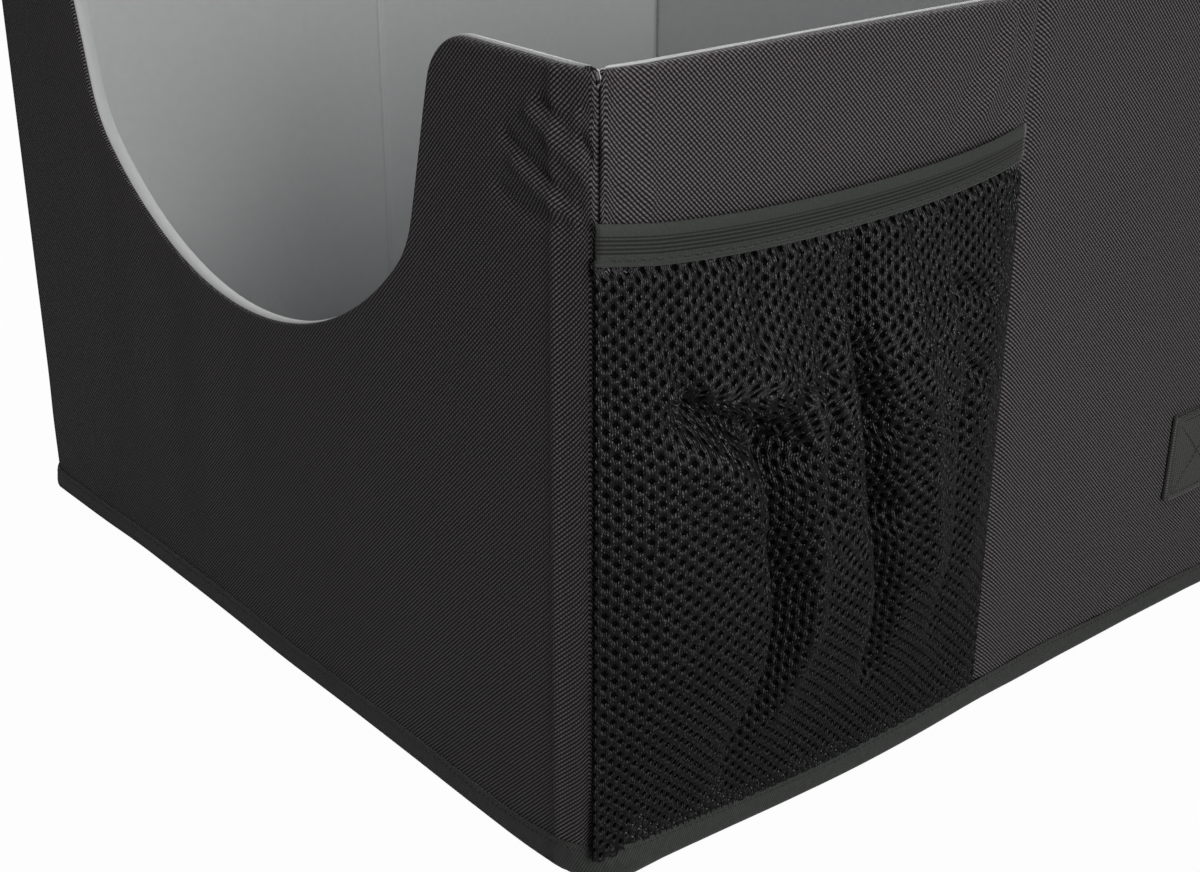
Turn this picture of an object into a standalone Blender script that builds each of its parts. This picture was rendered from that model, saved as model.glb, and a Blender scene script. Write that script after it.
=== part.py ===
"""Folding fabric box for a car: padded walls, a scooped front, a gathered mesh pocket and webbing straps.

Units are metres and +Z is up. The origin is the middle of the underside of the base. The scooped
front wall faces -Y, and the wall with the mesh pocket faces +X.
"""
import math

import bmesh
import bpy
from mathutils import Vector

# The box, over the outer fabric of its walls
BOX_WIDTH = 0.548
BOX_LENGTH = 0.510
BOX_HEIGHT = 0.365

# Layers of a wall, from the outside in
COVER_THICKNESS = 0.0020
BOARD_THICKNESS = 0.0055
LINING_THICKNESS = 0.0018
LAYER_GAP = 0.0003
BOARD_DEPTH = COVER_THICKNESS + LAYER_GAP
LINING_DEPTH = BOARD_DEPTH + BOARD_THICKNESS + LAYER_GAP
WALL_THICKNESS = LINING_DEPTH + LINING_THICKNESS
BOARD_TO_CORNER = 0.0150
COVER_EDGE_RADIUS = 0.0009
LINING_EDGE_RADIUS = 0.0005
BOARD_EDGE_RADIUS = 0.0008

# Scoop in the front wall: a wide arc, a fillet to a leaning side and a rounded post top. It was cut
# a little nearer to the left end of the wall.
SCOOP_MIDDLE = -0.0085
SCOOP_LOW_POINT = 0.1955
SCOOP_SIDE_FOOT = 0.2813
SCOOP_FILLET_RADIUS = 0.060
SCOOP_SIDE_LEAN = math.radians(14)
SCOOP_TOP_HALF_WIDTH = 0.1775
POST_CORNER_RADIUS = 0.026
SCOOP_ARC_STEPS = 11
FILLET_STEPS = 5
POST_CORNER_STEPS = 7

# Stitched line in the middle of each side wall, where the wall creases
FOLD_VALLEY_DEPTH = 0.0032
FOLD_VALLEY_HALF_WIDTH = 0.0042
FOLD_FLOOR_SHARE = 0.3
FOLD_FLOOR_RISE_SHARE = 0.2
FOLD_LINING_GROOVE = 0.0010
BOARD_TO_FOLD = 0.0070

# Bound bottom edge and the base inside it
BINDING_HEIGHT = 0.0120
BINDING_WIDTH = 0.0050
BINDING_PROUD = 0.0025
BINDING_CORNER_RADIUS = 0.0240
BINDING_EDGE_RADIUS = 0.0018
BASE_COVER_THICKNESS = 0.0015
FLOOR_LINING_THICKNESS = 0.0015
PLAN_CORNER_STEPS = 6

# Loose floor pad
PAD_TOP = 0.0745
PAD_SIDE_CLEARANCE = 0.0015
PAD_EDGE_RADIUS = 0.0090
PAD_CROWN = 0.0035
PAD_GRID_STEPS = 8

# Mesh pocket on the front half of the right wall
POCKET_SIDE_INSET = 0.0020
POCKET_MOUTH_HEIGHT = 0.3080
POCKET_MOUTH_SAG = 0.0070
POCKET_MOUTH_STANDOFF = 0.0072
POCKET_BULGE = 0.0240
POCKET_SHEET_THICKNESS = 0.0020
POCKET_FOOT_RISE = 0.27
POCKET_FOOT_GAP = 0.0008
POCKET_HEAD_FALL = 0.30
POCKET_SIDE_POWER = 4
POCKET_COLUMNS = 44
POCKET_ROWS = 24
ELASTIC_WIDTH = 0.0165
ELASTIC_THICKNESS = 0.0024
ELASTIC_EDGE_RADIUS = 0.0006

# Folds of the gathered mesh, as shares of the pocket: where each lies at the mouth and at the foot,
# how much of the bulge it takes, its half width across, and the heights between which it runs
POCKET_FOLDS = (
    (0.140, 0.140, 0.25, 0.026, 0.68, 0.97),
    (0.404, 0.276, 0.62, 0.040, 0.00, 0.72),
    (0.513, 0.717, 0.62, 0.036, 0.10, 0.97),
    (0.817, 0.785, 0.32, 0.030, 0.38, 0.97),
)
POCKET_FOLD_FADE = 0.10

# Webbing strap on the rear half of each side wall
STRAP_WIDTH = 0.0500
STRAP_FOOT_HEIGHT = 0.0710
STRAP_FROM_REAR = 0.1050
STRAP_THICKNESS = 0.0018
STRAP_TURNED_END = 0.0480
STRAP_END_CLEARANCE = 0.0030
STRAP_EDGE_RADIUS = 0.0005

HALF_WIDTH = BOX_WIDTH / 2
HALF_LENGTH = BOX_LENGTH / 2
WALL_FOOT = BINDING_HEIGHT + LAYER_GAP

COLOURS = {
    "cover": ((0.024, 0.023, 0.026), 0.85),
    "board": ((0.38, 0.37, 0.35), 0.80),
    "lining": ((0.42, 0.43, 0.43), 0.60),
    "binding": ((0.030, 0.034, 0.031), 0.90),
    "pad": ((0.40, 0.42, 0.45), 0.85),
    "mesh": ((0.012, 0.012, 0.013), 0.75),
    "elastic": ((0.040, 0.044, 0.038), 0.80),
    "webbing": ((0.035, 0.038, 0.034), 0.70),
}

# Turn that lays a flat outline across each axis, so that its thickness runs along that axis
OUTLINE_TURN = {
    "X": (math.radians(90), 0, math.radians(90)),
    "Y": (math.radians(90), 0, 0),
    "Z": (0, 0, 0),
}
WELD_DISTANCE = 0.00001
FLAT_ANGLE = math.radians(0.5)
SHARP_ANGLE = math.radians(35)


def clear_scene():
    for item in list(bpy.data.objects):
        bpy.data.objects.remove(item, do_unlink=True)


def make_collection(name):
    found = bpy.data.collections.new(name)
    bpy.context.scene.collection.children.link(found)
    return found


def fabric_material(piece_name, colour_name):
    colour, roughness = COLOURS[colour_name]
    material = bpy.data.materials.new(piece_name)
    material.use_nodes = True
    shader = material.node_tree.nodes["Principled BSDF"]
    shader.inputs["Base Color"].default_value = (*colour, 1)
    shader.inputs["Roughness"].default_value = roughness
    shader.inputs["Metallic"].default_value = 0
    return material


def arc(centre, radius, start, end, steps):
    """Points along an arc, from the start angle to the end angle."""
    points = []
    for step in range(steps + 1):
        angle = start + (end - start) * step / steps
        points.append((centre[0] + radius * math.cos(angle), centre[1] + radius * math.sin(angle)))
    return points


def rounded_rectangle(width, length, radius):
    x, y = width / 2 - radius, length / 2 - radius
    quarter = math.pi / 2
    points = []
    for turn, (sign_x, sign_y) in enumerate(((1, 1), (-1, 1), (-1, -1), (1, -1))):
        start = turn * quarter
        points += arc((sign_x * x, sign_y * y), radius, start, start + quarter, PLAN_CORNER_STEPS)
    return points


def finish(item, collection, colour_name):
    """Give a piece its material, its smooth shading and its place in a collection."""
    for owner in item.users_collection:
        owner.objects.unlink(item)
    collection.objects.link(item)
    item.data.materials.clear()
    item.data.materials.append(fabric_material(item.name, colour_name))
    item.data.shade_smooth()
    item.data.set_sharp_from_angle(angle=SHARP_ANGLE)
    return item


def slab(name, outlines, axis, low, high):
    """Fill flat outlines and give them a thickness from low to high along an axis."""
    curve = bpy.data.curves.new(name, "CURVE")
    curve.dimensions = "2D"
    curve.fill_mode = "BOTH"
    curve.extrude = (high - low) / 2
    for points in outlines:
        spline = curve.splines.new("POLY")
        spline.points.add(len(points) - 1)
        for place, (across, along) in zip(spline.points, points):
            place.co = (across, along, 0, 1)
        spline.use_cyclic_u = True
    guide = bpy.data.objects.new(name, curve)
    guide.rotation_euler = OUTLINE_TURN[axis]
    guide.location["XYZ".index(axis)] = (low + high) / 2
    bpy.context.scene.collection.objects.link(guide)
    bpy.context.view_layer.update()

    mesh = bpy.data.meshes.new_from_object(guide.evaluated_get(bpy.context.evaluated_depsgraph_get()))
    mesh.transform(guide.matrix_world)
    bpy.data.objects.remove(guide, do_unlink=True)
    work = bmesh.new()
    work.from_mesh(mesh)
    bmesh.ops.remove_doubles(work, verts=work.verts, dist=WELD_DISTANCE)
    bmesh.ops.dissolve_limit(work, angle_limit=FLAT_ANGLE, verts=work.verts, edges=work.edges)
    bmesh.ops.recalc_face_normals(work, faces=work.faces)
    work.to_mesh(mesh)
    work.free()
    mesh.name = name
    return bpy.data.objects.new(name, mesh)


def mitre(item, wall_middle, corner_signs):
    """Cut a wall's layer along the diagonals of the box's corners, half a layer gap short of each."""
    work = bmesh.new()
    work.from_mesh(item.data)
    for sign_x, sign_y in corner_signs:
        corner = Vector((sign_x * HALF_WIDTH, sign_y * HALF_LENGTH, 0))
        outward = Vector((sign_x, -sign_y, 0)).normalized()
        if (Vector((*wall_middle, 0)) - corner).dot(outward) > 0:
            outward.negate()
        bmesh.ops.bisect_plane(
            work,
            geom=[*work.verts, *work.edges, *work.faces],
            dist=WELD_DISTANCE,
            plane_co=corner - outward * LAYER_GAP / 2,
            plane_no=outward,
            clear_outer=True,
        )
        open_edges = [edge for edge in work.edges if edge.is_boundary]
        bmesh.ops.holes_fill(work, edges=open_edges, sides=0)
    bmesh.ops.recalc_face_normals(work, faces=work.faces)
    work.to_mesh(item.data)
    work.free()
    return item


def cut(item, cutter, cutters):
    cutters.objects.link(cutter)
    cutter.hide_render = True
    cutter.display_type = "WIRE"
    boolean = item.modifiers.new("cut " + cutter.name, "BOOLEAN")
    boolean.operation = "DIFFERENCE"
    boolean.solver = "EXACT"
    boolean.object = cutter


def round_edges(item, radius, segments):
    bevel = item.modifiers.new("rounded edges", "BEVEL")
    bevel.width = radius
    bevel.segments = segments
    bevel.limit_method = "ANGLE"
    bevel.angle_limit = SHARP_ANGLE


def scoop_shape():
    """The wide arc's radius, and the centres of the arc, its fillet and the post's corner at +X."""
    lean = math.tan(SCOOP_SIDE_LEAN)

    # The fillet ends at the foot of the leaning side, and the wide arc runs into it from the low point
    side_foot = SCOOP_TOP_HALF_WIDTH - (BOX_HEIGHT - SCOOP_SIDE_FOOT) * lean
    fillet_centre = (
        side_foot - SCOOP_FILLET_RADIUS * math.cos(SCOOP_SIDE_LEAN),
        SCOOP_SIDE_FOOT + SCOOP_FILLET_RADIUS * math.sin(SCOOP_SIDE_LEAN),
    )
    rise = fillet_centre[1] - SCOOP_LOW_POINT
    reach = fillet_centre[0] ** 2 + rise ** 2 - SCOOP_FILLET_RADIUS ** 2
    arc_radius = reach / (2 * (rise - SCOOP_FILLET_RADIUS))

    # The post's corner is tangent to the leaning side and to the flat top
    corner_x = SCOOP_TOP_HALF_WIDTH - POST_CORNER_RADIUS * lean
    corner_x += POST_CORNER_RADIUS / math.cos(SCOOP_SIDE_LEAN)
    corner_centre = (corner_x, BOX_HEIGHT - POST_CORNER_RADIUS)
    return arc_radius, (0, SCOOP_LOW_POINT + arc_radius), fillet_centre, corner_centre


def scoop_edge(inset):
    """Right half of the scoop's edge from its low point up, measured from the scoop's own middle."""
    arc_radius, arc_centre, fillet_centre, corner_centre = scoop_shape()
    side = -SCOOP_SIDE_LEAN
    joint = math.atan2(fillet_centre[1] - arc_centre[1], fillet_centre[0] - arc_centre[0])
    low = -math.pi / 2
    edge = arc(arc_centre, arc_radius + inset, low, joint, SCOOP_ARC_STEPS)
    edge += arc(fillet_centre, SCOOP_FILLET_RADIUS + inset, joint, side, FILLET_STEPS)[1:]
    edge += arc(corner_centre, POST_CORNER_RADIUS - inset, math.pi + side, math.pi / 2, POST_CORNER_STEPS)
    return edge


def front_outline(inset, end_inset):
    """Outline of the scooped front wall, with its top and scoop set back by the inset."""
    half = scoop_edge(inset)
    right_half = [(SCOOP_MIDDLE + x, z) for x, z in half[::-1]]
    left_half = [(SCOOP_MIDDLE - x, z) for x, z in half[1:]]
    end = HALF_WIDTH - end_inset
    top = BOX_HEIGHT - inset
    foot = WALL_FOOT + inset
    return [(-end, foot), (end, foot), (end, top), *right_half, *left_half, (-end, top)]


def rectangle(low_across, high_across, low_along, high_along):
    return [
        (low_across, low_along),
        (high_across, low_along),
        (high_across, high_along),
        (low_across, high_along),
    ]


def plain_wall_outline(half_span, inset, end_inset):
    end = half_span - end_inset
    return rectangle(-end, end, WALL_FOOT + inset, BOX_HEIGHT - inset)


def end_wall(name, sign, outline, parts, cutters):
    """Front or back wall: its outer cover, its board and the lining that wraps the board's edge."""
    def place(near, far):
        low, high = sorted((sign * (HALF_LENGTH - near), sign * (HALF_LENGTH - far)))
        return low, high

    corners = ((1, sign), (-1, sign))
    middle = (0, sign * HALF_LENGTH)
    board_inset = LINING_THICKNESS + LAYER_GAP

    cover = slab(name + "_cover", [outline(0, 0)], "Y", *place(0, COVER_THICKNESS))
    mitre(cover, middle, corners)
    round_edges(finish(cover, parts, "cover"), COVER_EDGE_RADIUS, 2)

    board_span = place(BOARD_DEPTH, BOARD_DEPTH + BOARD_THICKNESS)
    board = slab(name + "_board", [outline(board_inset, BOARD_TO_CORNER)], "Y", *board_span)
    round_edges(finish(board, parts, "board"), BOARD_EDGE_RADIUS, 1)

    lining = slab(name + "_lining", [outline(0, 0)], "Y", *place(BOARD_DEPTH, WALL_THICKNESS))
    mitre(lining, middle, corners)
    pocket_outline = outline(LINING_THICKNESS, BOARD_TO_CORNER - LAYER_GAP)
    pocket = slab(name + "_board_pocket", [pocket_outline], "Y", *place(0, LINING_DEPTH))
    cut(lining, pocket, cutters)
    round_edges(finish(lining, parts, "lining"), LINING_EDGE_RADIUS, 1)


def fold_line(depth, valley_depth, half_width, sign):
    """Plan line along a side wall at a depth from its outside, with a valley at the fold."""
    face = HALF_WIDTH - depth
    floor = face - valley_depth * (1 - FOLD_FLOOR_RISE_SHARE)
    floor_half_width = half_width * FOLD_FLOOR_SHARE
    line = [
        (face, -HALF_LENGTH),
        (face, -half_width),
        (floor, -floor_half_width),
        (floor, floor_half_width),
        (face, half_width),
        (face, HALF_LENGTH),
    ]
    return [(sign * x, y) for x, y in line]


def side_wall(name, sign, parts, cutters):
    """Side wall in two stiff halves, stitched flat between them so that it can crease there."""
    corners = ((sign, 1), (sign, -1))
    middle = (sign * HALF_WIDTH, 0)
    inner_half_width = FOLD_VALLEY_HALF_WIDTH + COVER_THICKNESS / 2

    outside = fold_line(0, FOLD_VALLEY_DEPTH, FOLD_VALLEY_HALF_WIDTH, sign)
    under_cover = fold_line(COVER_THICKNESS, FOLD_VALLEY_DEPTH, inner_half_width, sign)
    over_lining = fold_line(BOARD_DEPTH, FOLD_VALLEY_DEPTH, inner_half_width, sign)
    inside = fold_line(WALL_THICKNESS, -FOLD_LINING_GROOVE, FOLD_VALLEY_HALF_WIDTH / 2, sign)

    cover = slab(name + "_cover", [outside + under_cover[::-1]], "Z", WALL_FOOT, BOX_HEIGHT)
    mitre(cover, middle, corners)
    round_edges(finish(cover, parts, "cover"), COVER_EDGE_RADIUS, 2)

    lining = slab(name + "_lining", [over_lining + inside[::-1]], "Z", WALL_FOOT, BOX_HEIGHT)
    mitre(lining, middle, corners)

    def depths(near, far):
        low, high = sorted((sign * (HALF_WIDTH - near), sign * (HALF_WIDTH - far)))
        return low, high

    halves = {
        "front": (-HALF_LENGTH + BOARD_TO_CORNER, -BOARD_TO_FOLD),
        "rear": (BOARD_TO_FOLD, HALF_LENGTH - BOARD_TO_CORNER),
    }
    board_inset = LINING_THICKNESS + LAYER_GAP
    for half, (start, end) in halves.items():
        board_outline = rectangle(start, end, WALL_FOOT + board_inset, BOX_HEIGHT - board_inset)
        board_span = depths(BOARD_DEPTH, BOARD_DEPTH + BOARD_THICKNESS)
        board = slab(f"{name}_{half}_board", [board_outline], "X", *board_span)
        round_edges(finish(board, parts, "board"), BOARD_EDGE_RADIUS, 1)
        pocket_outline = rectangle(
            start - LAYER_GAP,
            end + LAYER_GAP,
            WALL_FOOT + LINING_THICKNESS,
            BOX_HEIGHT - LINING_THICKNESS,
        )
        pocket = slab(f"{name}_{half}_board_pocket", [pocket_outline], "X", *depths(0, LINING_DEPTH))
        cut(lining, pocket, cutters)
    round_edges(finish(lining, parts, "lining"), LINING_EDGE_RADIUS, 1)


def base(parts):
    """Bound bottom edge with the bottom cover, the base board and the floor lining inside it."""
    outer_width = BOX_WIDTH + 2 * BINDING_PROUD
    outer_length = BOX_LENGTH + 2 * BINDING_PROUD
    outer = rounded_rectangle(outer_width, outer_length, BINDING_CORNER_RADIUS)
    inner = rounded_rectangle(
        outer_width - 2 * BINDING_WIDTH,
        outer_length - 2 * BINDING_WIDTH,
        BINDING_CORNER_RADIUS - BINDING_WIDTH,
    )
    binding = slab("bottom_binding", [outer, inner], "Z", 0, BINDING_HEIGHT)
    round_edges(finish(binding, parts, "binding"), BINDING_EDGE_RADIUS, 2)

    set_in = BINDING_WIDTH + LAYER_GAP
    sheet = rounded_rectangle(
        outer_width - 2 * set_in, outer_length - 2 * set_in, BINDING_CORNER_RADIUS - set_in
    )
    cover = slab("base_cover", [sheet], "Z", 0, BASE_COVER_THICKNESS)
    finish(cover, parts, "cover")
    board_low = BASE_COVER_THICKNESS + LAYER_GAP
    board_high = BINDING_HEIGHT - FLOOR_LINING_THICKNESS - LAYER_GAP
    board = slab("base_board", [sheet], "Z", board_low, board_high)
    finish(board, parts, "board")
    lining = slab("floor_lining", [sheet], "Z", BINDING_HEIGHT - FLOOR_LINING_THICKNESS, BINDING_HEIGHT)
    finish(lining, parts, "lining")


def floor_pad(parts):
    """Loose foam pad with rounded edges and a slightly crowned top."""
    inside = WALL_THICKNESS + PAD_SIDE_CLEARANCE
    width = BOX_WIDTH - 2 * inside
    length = BOX_LENGTH - 2 * inside
    bpy.ops.mesh.primitive_cube_add(size=1)
    pad = bpy.context.object
    pad.name = "floor_pad"
    work = bmesh.new()
    work.from_mesh(pad.data)
    upright = [edge for edge in work.edges if abs(edge.verts[0].co.z - edge.verts[1].co.z) > 0.5]
    level = [edge for edge in work.edges if edge not in upright]
    bmesh.ops.subdivide_edges(work, edges=level, cuts=PAD_GRID_STEPS - 1, use_grid_fill=True)
    flat_top = PAD_TOP - PAD_CROWN
    for vert in work.verts:
        across, along, up = vert.co
        crown = (1 - (2 * across) ** 2) * (1 - (2 * along) ** 2)
        height = flat_top + PAD_CROWN * crown if up > 0 else WALL_FOOT
        vert.co = (across * width, along * length, height)
    work.to_mesh(pad.data)
    work.free()
    round_edges(finish(pad, parts, "pad"), PAD_EDGE_RADIUS, 3)


def smooth_step(value):
    held = min(max(value, 0), 1)
    return held * held * (3 - 2 * held)


def pocket_side_share(across):
    """How far the pocket has come away from the wall, from its sewn sides to its middle."""
    return 1 - abs(2 * across - 1) ** POCKET_SIDE_POWER


def pocket_span():
    start = -HALF_LENGTH + POCKET_SIDE_INSET
    return start, -FOLD_VALLEY_HALF_WIDTH - LAYER_GAP


def mouth_height(across):
    """Height of the elastic's top edge, which sags between its ends."""
    return POCKET_MOUTH_HEIGHT - POCKET_MOUTH_SAG * (1 - (2 * across - 1) ** 2)


def fold_share(across, up):
    """Share of the bulge that the gathers take away at a point of the pocket."""
    taken = 0
    for at_mouth, at_foot, depth, half_width, low, high in POCKET_FOLDS:
        middle = at_foot + (at_mouth - at_foot) * up
        rising = smooth_step((up - low) / POCKET_FOLD_FADE)
        falling = smooth_step((high - up) / POCKET_FOLD_FADE)
        taken += depth * rising * falling * math.exp(-((across - middle) / half_width) ** 2)
    return min(taken, 1)


def pocket_point(across, up):
    """Inner surface of the pocket's mesh, from its foot on the binding to the elastic."""
    start, end = pocket_span()
    foot = BINDING_HEIGHT + POCKET_FOOT_GAP
    head = mouth_height(across) - ELASTIC_WIDTH - LAYER_GAP
    foot_share = smooth_step(up / POCKET_FOOT_RISE)
    head_share = smooth_step((1 - up) / POCKET_HEAD_FALL)
    bulge = POCKET_MOUTH_STANDOFF + (POCKET_BULGE - POCKET_MOUTH_STANDOFF) * head_share
    bulge *= foot_share * pocket_side_share(across) * (1 - fold_share(across, up))
    return (HALF_WIDTH + LAYER_GAP + bulge, start + (end - start) * across, foot + (head - foot) * up)


def elastic_point(across, up):
    start, end = pocket_span()
    away = POCKET_MOUTH_STANDOFF * pocket_side_share(across)
    height = mouth_height(across) - ELASTIC_WIDTH * (1 - up)
    return (HALF_WIDTH + LAYER_GAP + away, start + (end - start) * across, height)


def draped_sheet(name, columns, rows, point, thickness):
    """Grid bent to a rule and thickened outwards from it."""
    work = bmesh.new()
    bmesh.ops.create_grid(work, x_segments=columns, y_segments=rows, size=0.5)
    for vert in work.verts:
        vert.co = point(vert.co.x + 0.5, vert.co.y + 0.5)
    mesh = bpy.data.meshes.new(name)
    work.to_mesh(mesh)
    work.free()
    sheet = bpy.data.objects.new(name, mesh)
    solidify = sheet.modifiers.new("cloth thickness", "SOLIDIFY")
    solidify.thickness = thickness
    solidify.offset = 1
    return sheet


def pocket(parts):
    mesh = draped_sheet("pocket_mesh", POCKET_COLUMNS, POCKET_ROWS, pocket_point, POCKET_SHEET_THICKNESS)
    finish(mesh, parts, "mesh")
    elastic = draped_sheet("pocket_elastic", POCKET_COLUMNS, 1, elastic_point, ELASTIC_THICKNESS)
    round_edges(finish(elastic, parts, "elastic"), ELASTIC_EDGE_RADIUS, 1)


def strap(name, sign, parts):
    """Webbing sewn flat to the side wall: its front end is turned under, its rear end is in the corner."""
    seat = HALF_WIDTH + LAYER_GAP
    front = HALF_LENGTH - STRAP_FROM_REAR
    step = front + STRAP_TURNED_END
    rear = HALF_LENGTH - STRAP_END_CLEARANCE
    line = [
        (seat, front),
        (seat + 2 * STRAP_THICKNESS, front),
        (seat + 2 * STRAP_THICKNESS, step),
        (seat + STRAP_THICKNESS, step + STRAP_THICKNESS),
        (seat + STRAP_THICKNESS, rear),
        (seat, rear),
    ]
    outline = [(sign * x, y) for x, y in line]
    webbing = slab(name, [outline], "Z", STRAP_FOOT_HEIGHT, STRAP_FOOT_HEIGHT + STRAP_WIDTH)
    round_edges(finish(webbing, parts, "webbing"), STRAP_EDGE_RADIUS, 2)


def main():
    clear_scene()
    parts = make_collection("fabric storage box")
    cutters = make_collection("cutters")
    cutters.hide_render = True

    def back_outline(inset, end_inset):
        return plain_wall_outline(HALF_WIDTH, inset, end_inset)

    end_wall("front", -1, front_outline, parts, cutters)
    end_wall("back", 1, back_outline, parts, cutters)
    side_wall("right", 1, parts, cutters)
    side_wall("left", -1, parts, cutters)
    base(parts)
    floor_pad(parts)
    pocket(parts)
    strap("right_strap", 1, parts)
    strap("left_strap", -1, parts)


if __name__ == "__main__":
    main()
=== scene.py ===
import math

import bmesh
import bpy
import numpy as np
from bpy.props import FloatProperty, FloatVectorProperty, PointerProperty
from mathutils import Matrix, Vector, noise


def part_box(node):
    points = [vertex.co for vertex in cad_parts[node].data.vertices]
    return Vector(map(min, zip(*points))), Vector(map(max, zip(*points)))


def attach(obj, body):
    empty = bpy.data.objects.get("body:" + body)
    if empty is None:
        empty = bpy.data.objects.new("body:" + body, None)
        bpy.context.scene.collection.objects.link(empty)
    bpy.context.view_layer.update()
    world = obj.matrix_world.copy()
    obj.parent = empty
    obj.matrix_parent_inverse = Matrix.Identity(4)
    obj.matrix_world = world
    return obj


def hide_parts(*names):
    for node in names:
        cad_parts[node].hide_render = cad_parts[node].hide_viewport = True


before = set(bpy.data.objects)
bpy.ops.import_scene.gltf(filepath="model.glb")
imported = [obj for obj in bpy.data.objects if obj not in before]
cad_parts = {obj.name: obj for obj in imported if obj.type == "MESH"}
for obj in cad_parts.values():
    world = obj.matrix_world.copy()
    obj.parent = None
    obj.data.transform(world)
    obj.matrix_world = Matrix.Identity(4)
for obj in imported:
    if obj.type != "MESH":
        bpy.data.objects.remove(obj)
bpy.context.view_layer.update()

bl_info = {
    "name": "Fabric storage box",
    "version": (1, 0, 0),
    "blender": (4, 5, 0),
    "location": "View3D > Sidebar > Fabric box",
    "description": "Dresses the solids of a folding fabric car box in cloth, trim and stitches",
    "category": "Object",
}

# The solids' own sizes, in metres
COVER_LOW, COVER_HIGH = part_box("front_cover")
HALF_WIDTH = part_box("right_cover")[1].x
HALF_LENGTH = -COVER_LOW.y
HEIGHT = COVER_HIGH.z
WALL_FOOT = COVER_LOW.z
WALL_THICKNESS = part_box("front_lining")[1].y + HALF_LENGTH
ELASTIC_LOW, ELASTIC_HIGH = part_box("pocket_elastic")
PAD_LOW, PAD_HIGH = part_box("floor_pad")
BINDING_LOW, BINDING_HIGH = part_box("bottom_binding")
STRAP_LOW, STRAP_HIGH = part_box("right_strap")

MM = 0.001
SAME_POINT = 0.000001
WELD = 0.00001
# A Wave texture's bands repeat after this length at a scale of 1
WAVE_LENGTH = 2 * math.pi / 20

# Scoop in the front wall, as in the part: a wide arc, a fillet, a leaning side and a rounded post top
SCOOP_MIDDLE = -0.0085
SCOOP_LOW_POINT = 0.1955
SCOOP_SIDE_FOOT = 0.2813
SCOOP_FILLET_RADIUS = 0.060
SCOOP_SIDE_LEAN = math.radians(14)
SCOOP_TOP_HALF_WIDTH = 0.1775
POST_CORNER_RADIUS = 0.026

# Rings just inside a cloth's edge, which carry its roll over the wall's top and the grooves at its seams
EDGE_RINGS = (0.0003, 0.0008, 0.0015, 0.0025, 0.0040)

# How each wall's own plane is turned about the vertical: its outside faces -Y before the turn
WALL_TURN = {"front": 0, "right": 90, "back": 180, "left": 270}

# The strip beside each upright corner seam that no board stiffens
CORNER_STRIP = 0.016
SLACK_STRIP = 0.0265

# How each wall's foot strays from a straight line, in millimetres: place across, outwards and upwards
FOOT_LINE = {
    "front": ((-274, 1.2, 0.4), (-255, 1.0, 0.4), (-205, 0.5, 0.8), (-157, 0.2, 2.6), (-70, 0.2, 2.5),
              (-30, 0.2, 2.0), (10, 0.3, 1.1), (80, 0.3, 1.8), (143, 0.1, 1.4), (173, 0, 0.8),
              (228, 0, 0.8), (255, 0, 3.2), (274, 0, 3.4)),
    "right": ((-255, 0, 3.4), (-235, -0.2, 3.2), (-216, -0.3, 3.0), (-195, -0.3, 1.8), (-172, -0.2, 0.9),
              (-150, 0.3, 0), (-127, 1.2, 0), (-102, 2.2, 0), (-77, 2.2, 0), (-51, 1.9, 0.2),
              (-24, 1.5, 1.2), (3, 0.1, 1.4), (32, -0.3, 0.8), (61, -0.4, 1.8), (92, -0.4, 2.2),
              (124, -0.4, 2.8), (157, -0.2, 3.6), (200, 0, 3.0), (255, 0, 1.0)),
    "back": ((-274, 0, 1.0), (0, 1.0, 0.4), (274, 0, 1.0)),
    "left": ((-255, 1.2, 0.4), (-100, 0.8, 0.6), (30, 0, 1.8), (255, 0, 1.0)),
}

# Soft valleys of the outer cloth in millimetres: depth, half width and a line of (across, up)
FRONT_CREASES = (
    (2.4, 2.6, ((239, 349), (253, 343), (262, 338), (269, 333))),
    (2.2, 2.8, ((218, 331), (227, 327), (237, 323), (247, 318), (260, 312))),
    (1.6, 3.2, ((213, 309), (224, 305), (237, 303), (250, 303), (270, 305))),
    (1.9, 3.4, ((258, 348), (272, 349))),
    (-1.6, 3.0, ((233, 343), (245, 337), (256, 330), (266, 323))),
    (-1.4, 3.2, ((224, 321), (240, 313), (258, 307))),
    (0.7, 13, ((-166, 232), (-172, 150), (-186, 75), (-198, 30))),
    (0.6, 12, ((-89, 178), (-97, 90), (-101, 40))),
    (0.5, 11, ((-19, 176), (-24, 70))),
    (-0.6, 13, ((-130, 205), (-140, 90))),
    (-0.5, 12, ((-58, 185), (-64, 60))),
    (0.8, 6, ((-262, 40), (-236, 26), (-205, 18))),
    (0.5, 7, ((205, 26), (150, 20), (90, 24))),
)
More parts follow.
